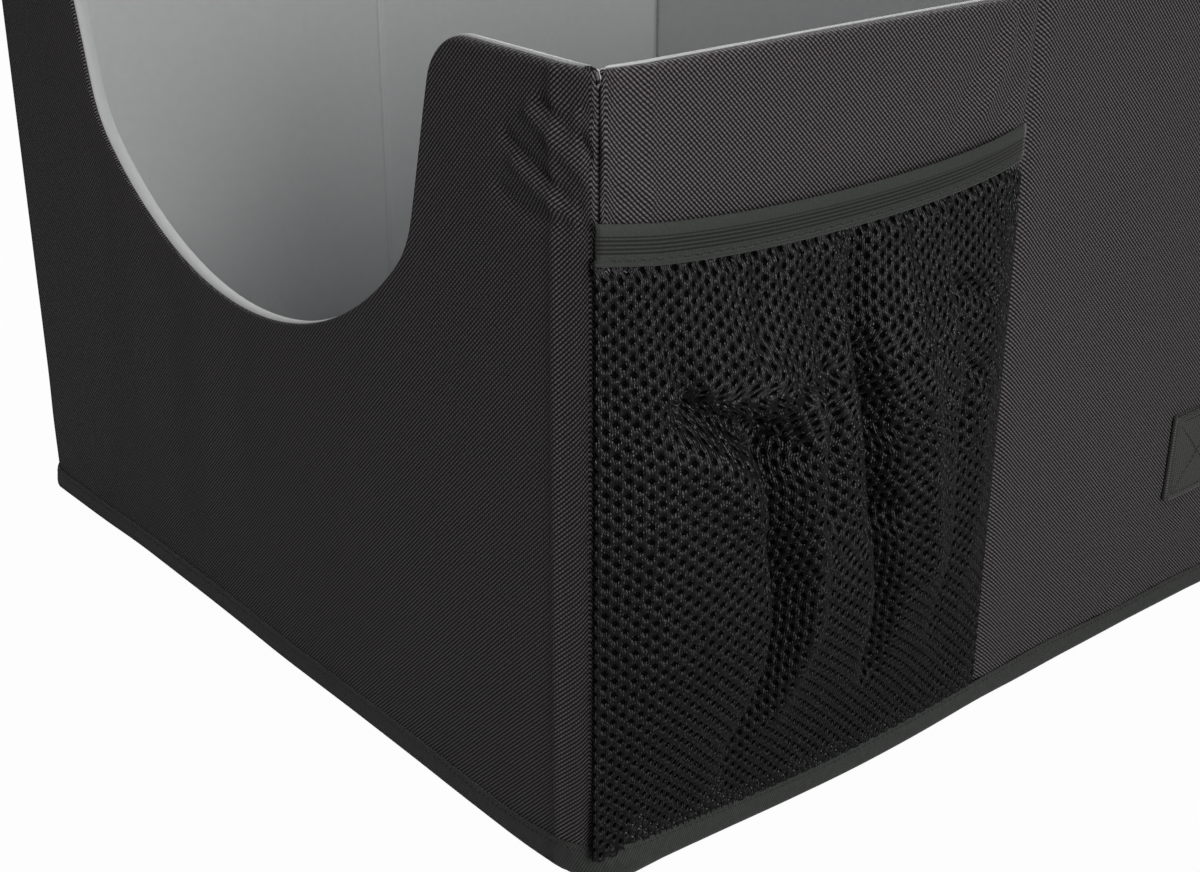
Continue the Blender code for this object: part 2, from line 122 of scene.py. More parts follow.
RIGHT_CREASES = (
    (1.6, 3.2, ((-253, 348), (-250, 355), (-249, 360))),
    (1.5, 2.8, ((-252, 316), (-247, 307), (-240, 300))),
    (0.8, 2.8, ((-244, 330), (-243.5, 200), (-244.5, 60))),
    (-0.7, 2.8, ((-238.5, 330), (-238, 200), (-239, 60))),
    (-1.2, 3.6, ((-250, 334), (-240, 322), (-228, 314))),
    (1.5, 3.4, ((-21, 368), (-15, 356), (-12, 346))),
    (1.5, 5.5, ((-27, 352), (-36, 341), (-44, 329), (-52, 314))),
    (-1.6, 3.6, ((-16, 360), (-19, 345), (-24, 332), (-33, 318))),
    (1.0, 4.0, ((-8, 330), (-20, 314), (-30, 302))),
    (1.0, 4.0, ((164, 57), (128, 41), (101, 12))),
    (0.9, 4.0, ((188, 36), (152, 14))),
    (-0.8, 5.0, ((172, 46), (138, 28), (118, 10))),
    (0.7, 4.0, ((156, 74), (118, 62), (92, 44))),
    (0.6, 6.0, ((60, 60), (40, 30), (32, 12))),
    (0.5, 16, ((60, 330), (66, 240), (80, 150))),
    (-0.4, 16, ((110, 340), (112, 240))),
    (0.4, 14, ((150, 320), (158, 230))),
)
BACK_CREASES = (
    (0.7, 16, ((-150, 320), (-158, 200), (-150, 60))),
    (0.6, 18, ((20, 330), (12, 180), (28, 50))),
    (0.7, 15, ((170, 310), (160, 170), (172, 60))),
)

# Folds of the gathered mesh in millimetres, measured from the front corner and from the ground: the share
# of the swell that each takes away, its half widths on the left and on the right of its line, and the line
POCKET_FOLDS = (
    (0.34, 5.0, 6.0, ((27, 296), (27, 276), (30, 256), (40, 228))),
    (0.82, 11.0, 6.0, ((40, 225), (50, 219), (64, 213), (78, 207))),
    (0.88, 6.0, 8.5, ((80, 203), (78, 192), (79, 178), (86, 145), (89, 120), (88, 95), (84, 72), (77, 48),
                      (70, 25))),
    (0.95, 8.5, 7.5, ((138, 300), (138, 263), (137, 243), (137, 224), (144, 187), (150, 149))),
    (0.70, 7.0, 7.0, ((150, 149), (153, 123), (158, 95), (160, 60))),
    (0.30, 4.0, 4.5, ((205, 240), (222, 235), (243, 228))),
    (0.26, 4.0, 4.5, ((214, 199), (228, 193), (242, 187))),
    (0.45, 6.0, 18.0, ((201, 300), (199, 257), (203, 219), (206, 200), (205, 178))),
    (0.34, 6.0, 9.0, ((205, 178), (207, 120), (203, 70))),
    (0.30, 12.0, 34.0, ((222, 150), (222, 30))),
    (0.30, 6.0, 6.0, ((108, 262), (112, 215), (112, 160))),
    (0.22, 5.0, 5.0, ((74, 292), (77, 262), (72, 240))),
    (-0.26, 8.0, 8.0, ((58, 268), (64, 246), (82, 228))),
    (-0.22, 10.0, 10.0, ((44, 206), (58, 192), (68, 174))),
    (-0.24, 6.0, 6.5, ((98, 214), (99, 182), (103, 145), (103, 107), (97, 60))),
    (-0.18, 7.5, 8.0, ((160, 288), (164, 232), (174, 178), (184, 110))),
    (-0.14, 7.0, 7.0, ((228, 190), (230, 120), (226, 70))),
)
POCKET_BULGE = 0.0240
POCKET_MOUTH_STANDOFF = 0.0072
POCKET_FOOT_RISE = 0.40
POCKET_HEAD_FALL = 0.30
POCKET_SIDE_POWER = 4
POCKET_START = ELASTIC_LOW.y
POCKET_END = ELASTIC_HIGH.y
ELASTIC_WIDTH = 0.0172
MOUTH_SAG = 0.0070
# The pocket's mesh as cut, before it is gathered
FLAT_MESH_WIDTH = 0.280
FLAT_MESH_HEIGHT = 0.284
# How much higher than wide a hole in the mesh is
HOLE_STRETCH = 1.12

# Rounding of the tape's corners in plan, and the spacing of the points along its straight sides
SLACK_CORNER_RADIUS = 0.028
CORNER_RADIUS = 0.008
TAPE_STEP = 0.007

# One layer of webbing with its share of air, and how far the strap lies off the wall's plane
STRAP_LAYER = 0.0018
STRAP_SEAT = 0.0005

# The camera, fitted to the photo: its place in metres and its turns in degrees
CAMERA_PLACE = (0.78705, -0.67615, 0.51528)
CAMERA_AZIMUTH = 50.468
CAMERA_ELEVATION = 23.674
CAMERA_ROLL = 0.206
CAMERA_SHIFT = -0.0041


def linear(code):
    """Linear colour of an sRGB hex value."""
    parts = [int(code[place:place + 2], 16) / 255 for place in (1, 3, 5)]
    return [part / 12.92 if part <= 0.04045 else ((part + 0.055) / 1.055) ** 2.4 for part in parts]


def length(name, description, millimetres):
    return FloatProperty(name=name, description=description, default=millimetres * MM, min=0, unit="LENGTH")


def colour(name, description, code):
    return FloatVectorProperty(
        name=name, description=description, default=linear(code), min=0, max=1, subtype="COLOR"
    )


class FabricBoxCloth(bpy.types.PropertyGroup):
    """Sizes of the walls' cloth."""

    cover_thickness: length("Outer cloth", "Thickness of the charcoal twill", 1.1)
    lining_thickness: length("Lining", "Thickness of the pale lining", 1.0)
    grid_pitch: length("Cloth grid", "Spacing of the grid that carries the cloth's relief", 4.5)
    crease_pitch: length("Crease grid", "Spacing of the grid where the cloth is wrinkled", 2.1)
    lining_pitch: length("Lining grid", "Spacing of the grid of the linings", 9.0)
    unevenness: length("Unevenness", "How far the padded walls stray from flat", 0.45)
    corner_drop: length("Corner drop", "How far the cloth falls in at an upright corner seam", 0.1)
    near_corner_drop: length("Near corner drop", "The same at the slack corner beside the pocket", 3.5)
    fold_depth: length("Fold depth", "Depth of the stitched line in the middle of a side wall", 3.0)
    twill_pitch: length("Twill pitch", "Spacing of the twill's oblique lines", 1.54)
    cover_light: colour("Twill ridges", "Colour of the twill's raised threads", "#686366")
    cover_dark: colour("Twill grooves", "Colour between the twill's threads", "#100f10")
    lining_colour: colour("Lining", "Colour of the lining", "#babbbb")


class FabricBoxPocket(bpy.types.PropertyGroup):
    """Sizes of the mesh pocket and its elastic."""

    hole_radius: length("Hole radius", "Radius of a hole in the mesh", 1.3)
    column_pitch: length("Column pitch", "Spacing of the columns of holes", 3.85)
    row_pitch: length("Row pitch", "Spacing of the holes in a column", 7.0)
    mesh_thickness: length("Mesh thickness", "Thickness of the knitted face", 1.1)
    elastic_thickness: length("Elastic thickness", "Thickness of the ribbed elastic", 1.6)
    mesh_light: colour("Mesh yarn", "Colour of the lit yarn", "#737379")
    mesh_dark: colour("Mesh grooves", "Colour between the yarns", "#040405")
    elastic_colour: colour("Elastic", "Colour of the ribbed elastic", "#2d302c")


class FabricBoxTrim(bpy.types.PropertyGroup):
    """Sizes of the tape, the webbing and the stitches."""

    stitch_length: length("Stitch length", "Length of one stitch", 2.6)
    stitch_pitch: length("Stitch pitch", "Spacing of the stitches in a row", 3.4)
    thread_radius: length("Thread radius", "Half the thread's thickness", 0.28)
    webbing_thickness: length("Webbing thickness", "Thickness of one layer of webbing", 1.6)
    tape_colour: colour("Tape", "Colour of the binding tape", "#3a3d3a")
    webbing_colour: colour("Webbing", "Colour of the strap webbing", "#42443f")
    thread_colour: colour("Thread", "Colour of the sewing thread", "#242524")


class FabricBoxStage(bpy.types.PropertyGroup):
    """The camera, the lamps and the floor."""

    lens: FloatProperty(name="Lens", description="Focal length in millimetres", default=55.4, min=10)
    key_power: FloatProperty(
        name="Key lamp", description="Power of the lamp at the right", default=30, min=0, unit="POWER"
    )
    front_power: FloatProperty(
        name="Front lamp", description="Power of the lamp high over the front", default=1.2, min=0,
        unit="POWER"
    )
    side_power: FloatProperty(
        name="Side lamp", description="Power of the lamp high over the pocket", default=2.6, min=0,
        unit="POWER"
    )
    top_power: FloatProperty(
        name="Top lamp", description="Power of the lamp overhead", default=6, min=0, unit="POWER"
    )
    back_power: FloatProperty(
        name="Back lamp", description="Power of the lamp behind, which lights the rims", default=34, min=0,
        unit="POWER"
    )
    world_strength: FloatProperty(
        name="Room light", description="Strength of the even light all round", default=0.06, min=0
    )


def add_node(tree, kind, inputs=None, **settings):
    """Add a node, set its settings, and fill its sockets with values or links."""
    node = tree.nodes.new(kind)
    for setting, value in settings.items():
        setattr(node, setting, value)
    for socket, value in (inputs or {}).items():
        if isinstance(value, bpy.types.NodeSocket):
            tree.links.new(value, node.inputs[socket])
        else:
            node.inputs[socket].default_value = value
    return node


def new_finish(name, **values):
    """A material whose principled shader has these values on its own sockets."""
    material = bpy.data.materials.new(name)
    material.use_nodes = True
    tree = material.node_tree
    shader = tree.nodes["Principled BSDF"]
    for socket, value in values.items():
        shader.inputs[socket.replace("_", " ")].default_value = value
    return material, tree, shader


def paint(tree, shader, factor, dark, light, height, distance, strength=1.0):
    """Mix two colours by a pattern, and raise the surface by a height."""
    mixed = add_node(
        tree, "ShaderNodeMix", {0: factor, 6: (*dark, 1), 7: (*light, 1)}, data_type="RGBA"
    )
    bump = add_node(
        tree, "ShaderNodeBump", {"Height": height, "Distance": distance, "Strength": strength}
    )
    tree.links.new(mixed.outputs[2], shader.inputs["Base Color"])
    tree.links.new(bump.outputs[0], shader.inputs["Normal"])
    return mixed


def charcoal_twill(cloth):
    """Spun-look polyester in a steep twill: dull, with raised oblique ribs that catch the light."""
    material, tree, shader = new_finish(
        "charcoal_polyester_twill", Roughness=0.75, Sheen_Weight=0.08, Sheen_Roughness=0.45,
        Specular_IOR_Level=0.16
    )
    flat = add_node(tree, "ShaderNodeUVMap", uv_map="cloth").outputs[0]
    rib_way = add_node(tree, "ShaderNodeMapping", {"Vector": flat, "Rotation": (0, 0, math.radians(45))})
    yarn_way = add_node(tree, "ShaderNodeMapping", {"Vector": flat, "Rotation": (0, 0, math.radians(116))})
    ribs = add_node(tree, "ShaderNodeTexWave", {
        "Vector": rib_way.outputs[0], "Scale": WAVE_LENGTH / cloth.twill_pitch,
        "Distortion": 0.35, "Detail": 1.0, "Detail Scale": 0.6,
    })
    # The crossing yarns break the ribs into dots about every fourth thread
    yarns = add_node(tree, "ShaderNodeTexWave", {
        "Vector": yarn_way.outputs[0], "Scale": WAVE_LENGTH / (1.9 * MM),
        "Distortion": 0.8, "Detail": 1.0, "Detail Scale": 1.0,
    })
    broken = add_node(tree, "ShaderNodeMath", {0: yarns.outputs[1], 1: 0.48, 2: 0.58},
                      operation="MULTIPLY_ADD")
    weave = add_node(tree, "ShaderNodeMath", {0: ribs.outputs[1], 1: broken.outputs[0]}, operation="MULTIPLY")
    blotches = add_node(tree, "ShaderNodeTexNoise", {"Vector": flat, "Scale": 900, "Detail": 2.0})
    tone = add_node(tree, "ShaderNodeMath", {0: blotches.outputs[0], 1: 0.5, 2: -0.25},
                    operation="MULTIPLY_ADD")
    tone = add_node(tree, "ShaderNodeMath", {0: weave.outputs[0], 1: tone.outputs[0]}, operation="ADD")
    held = add_node(tree, "ShaderNodeMapRange", {"Value": tone.outputs[0], "From Min": 0.16, "From Max": 0.9},
                    interpolation_type="SMOOTHSTEP")
    paint(tree, shader, held.outputs[0], cloth.cover_dark, cloth.cover_light,
          weave.outputs[0], 0.35 * MM, 0.8)
    return material


def pale_lining(cloth):
    """Brushed and calendered polyester: pale grey, nearly smooth, with a faint mottle from the foam."""
    material, tree, shader = new_finish(
        "calendered_polyester_lining", Roughness=0.62, Sheen_Weight=0.15, Sheen_Roughness=0.5
    )
    place = add_node(tree, "ShaderNodeTexCoord").outputs["Object"]
    mottle = add_node(tree, "ShaderNodeTexNoise", {"Vector": place, "Scale": 160, "Detail": 4.0})
    fine = add_node(tree, "ShaderNodeTexNoise", {"Vector": place, "Scale": 1100, "Detail": 1.0})
    height = add_node(tree, "ShaderNodeMath", {0: fine.outputs[0], 1: 0.3, 2: mottle.outputs[0]},
                      operation="MULTIPLY_ADD")
    dark = [0.9 * part for part in cloth.lining_colour]
    paint(tree, shader, mottle.outputs[0], dark, cloth.lining_colour, height.outputs[0], 0.35 * MM, 0.5)
    return material


def foam_board():
    """Extruded polypropylene board: matt off-white with faint flutes, hidden in the walls."""
    material, tree, shader = new_finish("extruded_fluted_board", Roughness=0.6)
    place = add_node(tree, "ShaderNodeTexCoord").outputs["Object"]
    flutes = add_node(tree, "ShaderNodeTexWave", {"Vector": place, "Scale": WAVE_LENGTH / (5 * MM)},
                      bands_direction="Z")
    paint(tree, shader, flutes.outputs[1], linear("#cfccc4"), linear("#dedbd3"),
          flutes.outputs[1], 0.2 * MM)
    return material


def binding_tape(trim):
    """Woven polyester binding tape: a fine twill, dull, and a little greener than the walls."""
    material, tree, shader = new_finish(
        "woven_polyester_tape", Roughness=0.78, Sheen_Weight=0.12, Specular_IOR_Level=0.3
    )
    flat = add_node(tree, "ShaderNodeUVMap", uv_map="cloth").outputs[0]
    way = add_node(tree, "ShaderNodeMapping", {"Vector": flat, "Rotation": (0, 0, math.radians(35))})
    # Such a tape's ribs are taken as 0.6 mm apart, and are drawn at 1.2 mm so that they show
    ribs = add_node(tree, "ShaderNodeTexWave", {
        "Vector": way.outputs[0], "Scale": WAVE_LENGTH / (1.2 * MM), "Distortion": 0.6, "Detail": 1.0,
    })
    wear = add_node(tree, "ShaderNodeTexNoise", {"Vector": flat, "Scale": 300, "Detail": 3.0})
    tone = add_node(tree, "ShaderNodeMath", {0: ribs.outputs[1], 1: wear.outputs[0]}, operation="MULTIPLY")
    dark = [0.35 * part for part in trim.tape_colour]
    light = [1.7 * part for part in trim.tape_colour]
    paint(tree, shader, tone.outputs[0], dark, light, ribs.outputs[1], 0.25 * MM, 0.7)
    return material


def spacer_mesh(pocket):
    """Black warp-knitted spacer mesh: shiny filament stitches in upright rows, matt between them, with
    painted highlights on the loops and painted shade towards the foot.
    """
    material, tree, shader = new_finish(
        "black_spacer_mesh", Roughness=0.48, Sheen_Weight=0.02, Specular_IOR_Level=0.3
    )
    flat = add_node(tree, "ShaderNodeUVMap", uv_map="cloth").outputs[0]
    # Such a mesh's wales are taken as 0.7 mm apart, and are drawn at 1.0 mm so that they show
    wales = add_node(tree, "ShaderNodeTexWave", {
        "Vector": flat, "Scale": WAVE_LENGTH / (1.0 * MM), "Distortion": 1.8, "Detail": 2.0,
        "Detail Scale": 1.2,
    })
    # Painted highlights: bright dots at each knit loop stand in for glints of light on the filament
    longer = add_node(tree, "ShaderNodeMapping", {"Vector": flat, "Scale": (950, 600, 950)})
    loops = add_node(tree, "ShaderNodeTexVoronoi", {"Vector": longer.outputs[0], "Scale": 1.0})
    painted_glints = add_node(tree, "ShaderNodeMapRange", {
        "Value": loops.outputs["Distance"], "From Min": 0.42, "From Max": 0.1,
    })
    tone = add_node(tree, "ShaderNodeMath", {0: wales.outputs[1], 1: painted_glints.outputs[0]},
                    operation="MULTIPLY")
    tone = add_node(tree, "ShaderNodeMath", {0: wales.outputs[1], 1: 0.35, 2: tone.outputs[0]},
                    operation="MULTIPLY_ADD")
    weave_with_painted_light = add_node(tree, "ShaderNodeMapRange", {
        "Value": tone.outputs[0], "From Min": 0.28, "From Max": 1.15,
    }, interpolation_type="SMOOTHSTEP")
    # Painted shade: towards the foot the mesh's colour is darkened, standing in for the shade on its lower
    # half
    up = add_node(tree, "ShaderNodeSeparateXYZ", {0: flat})
    painted_foot_shade = add_node(tree, "ShaderNodeMapRange", {
        "Value": up.outputs[1], "From Min": 0.110, "From Max": 0.210, "To Min": 0.45,
    }, interpolation_type="SMOOTHSTEP")
    weave_with_painted_light = add_node(tree, "ShaderNodeMath", {0: weave_with_painted_light.outputs[0], 1: painted_foot_shade.outputs[0]},
                     operation="MULTIPLY")
    # The weave's tone, with its painted highlights and painted foot shade, sets the colour
    paint(tree, shader, weave_with_painted_light.outputs[0], pocket.mesh_dark, pocket.mesh_light,
          tone.outputs[0], 0.45 * MM, 0.9)
    return material


def mesh_backing_painted_shade(pocket):
    """The spacer mesh's own closed back, seen only through the holes: matt, and coloured far blacker than the
    yarn as painted shade inside the pocket.
    """
    material, tree, shader = new_finish(
        "knitted_backing_painted_shade", Roughness=0.95, Specular_IOR_Level=0.1
    )
    flat = add_node(tree, "ShaderNodeUVMap", uv_map="cloth").outputs[0]
    knit = add_node(tree, "ShaderNodeTexNoise", {"Vector": flat, "Scale": 1500, "Detail": 1.0})
    # Painted shade: these colours are far darker than the mesh's darkest yarn, so the holes read as shade
    dark = [0.15 * part for part in pocket.mesh_dark]
    light = [0.6 * part for part in pocket.mesh_dark]
    paint(tree, shader, knit.outputs[0], dark, light, knit.outputs[0], 0.2 * MM)
    return material


def ribbed_elastic(pocket):
    """Knitted elastic: rubber threads under fine crosswise ribs, dull olive grey."""
    material, tree, shader = new_finish(
        "knitted_ribbed_elastic", Roughness=0.7, Sheen_Weight=0.15, Specular_IOR_Level=0.3
    )
    flat = add_node(tree, "ShaderNodeUVMap", uv_map="cloth").outputs[0]
    # Such an elastic's ribs are taken as 0.5 mm apart, and are drawn at 0.9 mm so that they show
    ribs = add_node(tree, "ShaderNodeTexWave", {
        "Vector": flat, "Scale": WAVE_LENGTH / (0.9 * MM), "Distortion": 1.2, "Detail": 2.0,
    })
    lint = add_node(tree, "ShaderNodeTexNoise", {"Vector": flat, "Scale": 700, "Detail": 2.0})
    # Painted shade: dark lines run lengthwise in the grooves between the rubber threads, where shade falls
    grooves = add_node(tree, "ShaderNodeTexWave", {
        "Vector": flat, "Scale": WAVE_LENGTH / (0.096 * ELASTIC_WIDTH),
    }, bands_direction="Y")
    # Only the band between these shares of the width is grooved
    up = add_node(tree, "ShaderNodeSeparateXYZ", {0: flat})
    off_middle = add_node(tree, "ShaderNodeMath", {0: up.outputs[1], 1: 0.52 * ELASTIC_WIDTH},
                          operation="ADD")
    off_middle = add_node(tree, "ShaderNodeMath", {0: off_middle.outputs[0]}, operation="ABSOLUTE")
    banded = add_node(tree, "ShaderNodeMapRange", {
        "Value": off_middle.outputs[0], "From Min": 0.245 * ELASTIC_WIDTH, "From Max": 0.22 * ELASTIC_WIDTH,
    })
    painted_groove_shade = add_node(tree, "ShaderNodeMapRange", {
        "Value": grooves.outputs[1], "From Min": 0.72, "From Max": 0.2,
    })
    painted_groove_shade = add_node(tree, "ShaderNodeMath", {0: painted_groove_shade.outputs[0], 1: banded.outputs[0]},
                      operation="MULTIPLY")
    ribbed = add_node(tree, "ShaderNodeMath", {0: ribs.outputs[1], 1: 0.25, 2: 0.40},
                      operation="MULTIPLY_ADD")
    tone = add_node(tree, "ShaderNodeMath", {0: lint.outputs[0], 1: 0.5, 2: ribbed.outputs[0]},
                    operation="MULTIPLY_ADD")
    # The painted groove shade darkens the tone in the grooved band
    tone = add_node(tree, "ShaderNodeMath", {0: painted_groove_shade.outputs[0], 1: -0.9, 2: tone.outputs[0]},
                    operation="MULTIPLY_ADD")
    dark = [0.12 * part for part in pocket.elastic_colour]
    light = [1.4 * part for part in pocket.elastic_colour]
    paint(tree, shader, tone.outputs[0], dark, light, tone.outputs[0], 0.3 * MM, 0.6)
    return material


def strap_webbing(trim):
    """Woven polypropylene webbing: flat ribs across, chevrons along, with a faint plastic shine."""
    material, tree, shader = new_finish(
        "woven_polypropylene_webbing", Roughness=0.55, Sheen_Weight=0.1, Specular_IOR_Level=0.4
    )
    flat = add_node(tree, "ShaderNodeUVMap", uv_map="cloth").outputs[0]
    across = add_node(tree, "ShaderNodeTexWave", {
        "Vector": flat, "Scale": WAVE_LENGTH / (2.0 * MM), "Distortion": 0.3,
    })
    along = add_node(tree, "ShaderNodeTexWave", {
        "Vector": flat, "Scale": WAVE_LENGTH / (1.5 * MM), "Distortion": 0.3,
    }, bands_direction="Y")
    weave = add_node(tree, "ShaderNodeMath", {0: across.outputs[1], 1: along.outputs[1]},
                     operation="MULTIPLY")
    dark = [0.45 * part for part in trim.webbing_colour]
    light = [1.5 * part for part in trim.webbing_colour]
    paint(tree, shader, weave.outputs[0], dark, light, weave.outputs[0], 0.3 * MM, 0.8)
    return material


def sewing_thread(trim):
    """Bonded polyester thread: dark, twisted, with a soft shine."""
    material, tree, shader = new_finish("bonded_polyester_thread", Roughness=0.5)
    place = add_node(tree, "ShaderNodeTexCoord").outputs["Object"]
    twist = add_node(tree, "ShaderNodeTexNoise", {"Vector": place, "Scale": 1800, "Detail": 1.0})
    dark = [0.5 * part for part in trim.thread_colour]
    light = [1.5 * part for part in trim.thread_colour]
    paint(tree, shader, twist.outputs[0], dark, light, twist.outputs[0], 0.1 * MM)
    return material


def brushed_pad_cloth():
    """Brushed polyester over foam: light bluish grey with a short soft nap."""
    material, tree, shader = new_finish(
        "brushed_polyester_pad_cloth", Roughness=0.85, Sheen_Weight=0.35, Sheen_Roughness=0.6
    )
    place = add_node(tree, "ShaderNodeTexCoord").outputs["Object"]
    nap = add_node(tree, "ShaderNodeTexNoise", {"Vector": place, "Scale": 900, "Detail": 3.0})
    tracks = add_node(tree, "ShaderNodeTexNoise", {"Vector": place, "Scale": 35, "Detail": 2.0})
    tone = add_node(tree, "ShaderNodeMath", {0: nap.outputs[0], 1: tracks.outputs[0]}, operation="MULTIPLY")
    paint(tree, shader, tone.outputs[0], linear("#a6aab0"), linear("#cdd1d6"), nap.outputs[0], 0.4 * MM, 0.6)
    return material


def white_sweep():
    """Studio paper: white to the camera, and still taking the box's shadow."""
    material = bpy.data.materials.new("white_studio_paper")
    material.use_nodes = True
    tree = material.node_tree
    tree.nodes.clear()
    rays = add_node(tree, "ShaderNodeLightPath")
    share = add_node(tree, "ShaderNodeMath", {0: rays.outputs["Is Camera Ray"], 1: 0.975},
                     operation="MULTIPLY")
    paper = add_node(tree, "ShaderNodeBsdfDiffuse", {"Color": (0.30, 0.30, 0.30, 1)})
    white = add_node(tree, "ShaderNodeEmission", {"Color": (1, 1, 1, 1), "Strength": 1.0})
    mixed = add_node(tree, "ShaderNodeMixShader", {0: share.outputs[0], 1: paper.outputs[0],
                                                   2: white.outputs[0]})
    add_node(tree, "ShaderNodeOutputMaterial", {"Surface": mixed.outputs[0]})
    return material


def smooth_step(value):
    held = np.clip(value, 0, 1)
    return held * held * (3 - 2 * held)


def run_along(points):
    """Length so far at each point of a line."""
    steps = np.linalg.norm(np.diff(points, axis=0), axis=1)
    return np.concatenate([[0], np.cumsum(steps)])


def arc(centre, radius, start, end, steps):
    """Points along an arc, from the start angle to the end angle."""
    angles = np.linspace(start, end, steps + 1)
    return [(centre[0] + radius * math.cos(angle), centre[1] + radius * math.sin(angle)) for angle in angles]


def scoop_edge():
    """Right half of the scoop's edge, from its low point up to the flat top of the post."""
    lean = math.tan(SCOOP_SIDE_LEAN)
    side_foot = SCOOP_TOP_HALF_WIDTH - (HEIGHT - SCOOP_SIDE_FOOT) * lean
    fillet = (
        side_foot - SCOOP_FILLET_RADIUS * math.cos(SCOOP_SIDE_LEAN),
        SCOOP_SIDE_FOOT + SCOOP_FILLET_RADIUS * math.sin(SCOOP_SIDE_LEAN),
    )
    rise = fillet[1] - SCOOP_LOW_POINT
    radius = (fillet[0] ** 2 + rise ** 2 - SCOOP_FILLET_RADIUS ** 2) / (2 * (rise - SCOOP_FILLET_RADIUS))
    middle = (0, SCOOP_LOW_POINT + radius)
    corner_x = SCOOP_TOP_HALF_WIDTH - POST_CORNER_RADIUS * lean
    corner_x += POST_CORNER_RADIUS / math.cos(SCOOP_SIDE_LEAN)
    corner = (corner_x, HEIGHT - POST_CORNER_RADIUS)
    joint = math.atan2(fillet[1] - middle[1], fillet[0] - middle[0])
    edge = arc(middle, radius, -math.pi / 2, joint, 34)
    edge += arc(fillet, SCOOP_FILLET_RADIUS, joint, -SCOOP_SIDE_LEAN, 16)[1:]
    edge += arc(corner, POST_CORNER_RADIUS, math.pi - SCOOP_SIDE_LEAN, math.pi / 2, 14)
    return edge


def free_edge(half_span, end_drop, scoop_middle=None):
    """The wall's top edge from right to left, with its ends turned down, and the scoop if it has one."""
    right = arc((half_span - end_drop, HEIGHT - end_drop), end_drop, 0, math.pi / 2, 6)
    left = [(-x, z) for x, z in right[::-1]]
    if scoop_middle is None:
        return right + left
    scoop = scoop_edge()
    opening = [(scoop_middle + x, z) for x, z in scoop[::-1]]
    opening += [(scoop_middle - x, z) for x, z in scoop[1:]]
    return right + opening + left


def spread(low, high, pitch, extra=()):
    """Even cuts between two ends, with extra ones that push out their near neighbours."""
    count = max(int((high - low) / pitch), 1)
    even = [low + (high - low) * step / count for step in range(1, count)]
    even = [cut for cut in even if all(abs(cut - other) > pitch * 0.3 for other in extra)]
    return sorted([*even, *(cut for cut in extra if low < cut < high)])


def finer(cuts, low, high, pitch):
    """The same cuts with closer ones between two places."""
    kept = [cut for cut in cuts if not low - pitch * 0.4 < cut < high + pitch * 0.4]
    count = max(round((high - low) / pitch), 1)
    return sorted(kept + [low + (high - low) * step / count for step in range(count + 1)])


def flat_panel(outline, rings, columns, rows):
    """An outline filled as one face, ringed inside its edge and cut into a grid."""
    work = bmesh.new()
    work.faces.new([work.verts.new((across, up, 0)) for across, up in outline])
    reached = 0
    for ring in rings:
        work.normal_update()
        middle = [max(work.faces, key=lambda face: len(face.verts))]
        bmesh.ops.inset_region(
            work, faces=middle, thickness=ring - reached, use_even_offset=True, use_boundary=True
        )
        reached = ring
    for axis, cuts in enumerate((columns, rows)):
        direction = Vector((1 - axis, axis, 0))
        for cut in cuts:
            bmesh.ops.bisect_plane(
                work, geom=[*work.verts, *work.edges, *work.faces],
                dist=SAME_POINT, plane_co=direction * cut, plane_no=direction,
            )
    return work


def nearest_on_line(across, up, line):
    """Distance from each point to a line, the line's normal there, and on which side of it the point is."""
    line = np.asarray(line, float)
    step = np.diff(line, axis=0)
    run = np.hypot(*step.T)
    away = np.stack([across, up], 1)[:, None, :] - line[None, :-1]
    share = np.clip((away * step).sum(2) / run ** 2, 0, 1)
    gap = np.linalg.norm(away - share[..., None] * step, axis=2)
    nearest = gap.argmin(1)
    own = np.arange(len(across))
    side = np.stack([step[:, 1], -step[:, 0]], 1) / run[:, None]
    at_points = np.vstack([side[:1], side[:-1] + side[1:], side[-1:]])
    at_points /= np.linalg.norm(at_points, axis=1)[:, None]
    along = share[own, nearest][:, None]
    normal = at_points[nearest] * (1 - along) + at_points[nearest + 1] * along
    normal /= np.linalg.norm(normal, axis=1)[:, None]
    return gap[own, nearest], normal, np.sign((away[own, nearest] * side[nearest]).sum(1))


def creases(across, up, table):
    """Depth of all the valleys of a table, in metres."""
    depth = np.zeros(len(across))
    for deep, half_width, line in table:
        gap, _, _ = nearest_on_line(across / MM, up / MM, line)
        depth += deep * MM * np.exp(-(gap / half_width) ** 2)
    return depth


def foot_stray(wall, across, up, reach=0.085):
    """How far the cloth near the ground strays outwards and upwards, which fades with its height."""
    place, out, rise = np.array(FOOT_LINE[wall]).T * MM
    if wall == "left":
        across = -across
    near = [across - 12 * MM, across, across + 12 * MM]
    fade = smooth_step((reach - up) / (reach - WALL_FOOT))
    return (sum(np.interp(spot, place, out) for spot in near) / 3 * fade,
            sum(np.interp(spot, place, rise) for spot in near) / 3 * fade)


def uneven(across, up, seed, coarse=0.070, fine=0.016):
    """Gentle unevenness of stuffed cloth, between about -1 and 1."""
    values = []
    for x, z in zip(across, up):
        broad = noise.noise(Vector((x / coarse, z / coarse, seed)))
        small = noise.noise(Vector((x / fine, z / fine, seed + 7)))
        values.append(broad + 0.3 * small)
    return np.array(values)


def set_cloth_map(work, flat):
    """Give each corner its place on the flat cloth, in metres."""
    layer = work.loops.layers.uv.new("cloth")
    work.verts.index_update()
    for face in work.faces:
        for loop in face.loops:
            loop[layer].uv = flat[loop.vert.index]


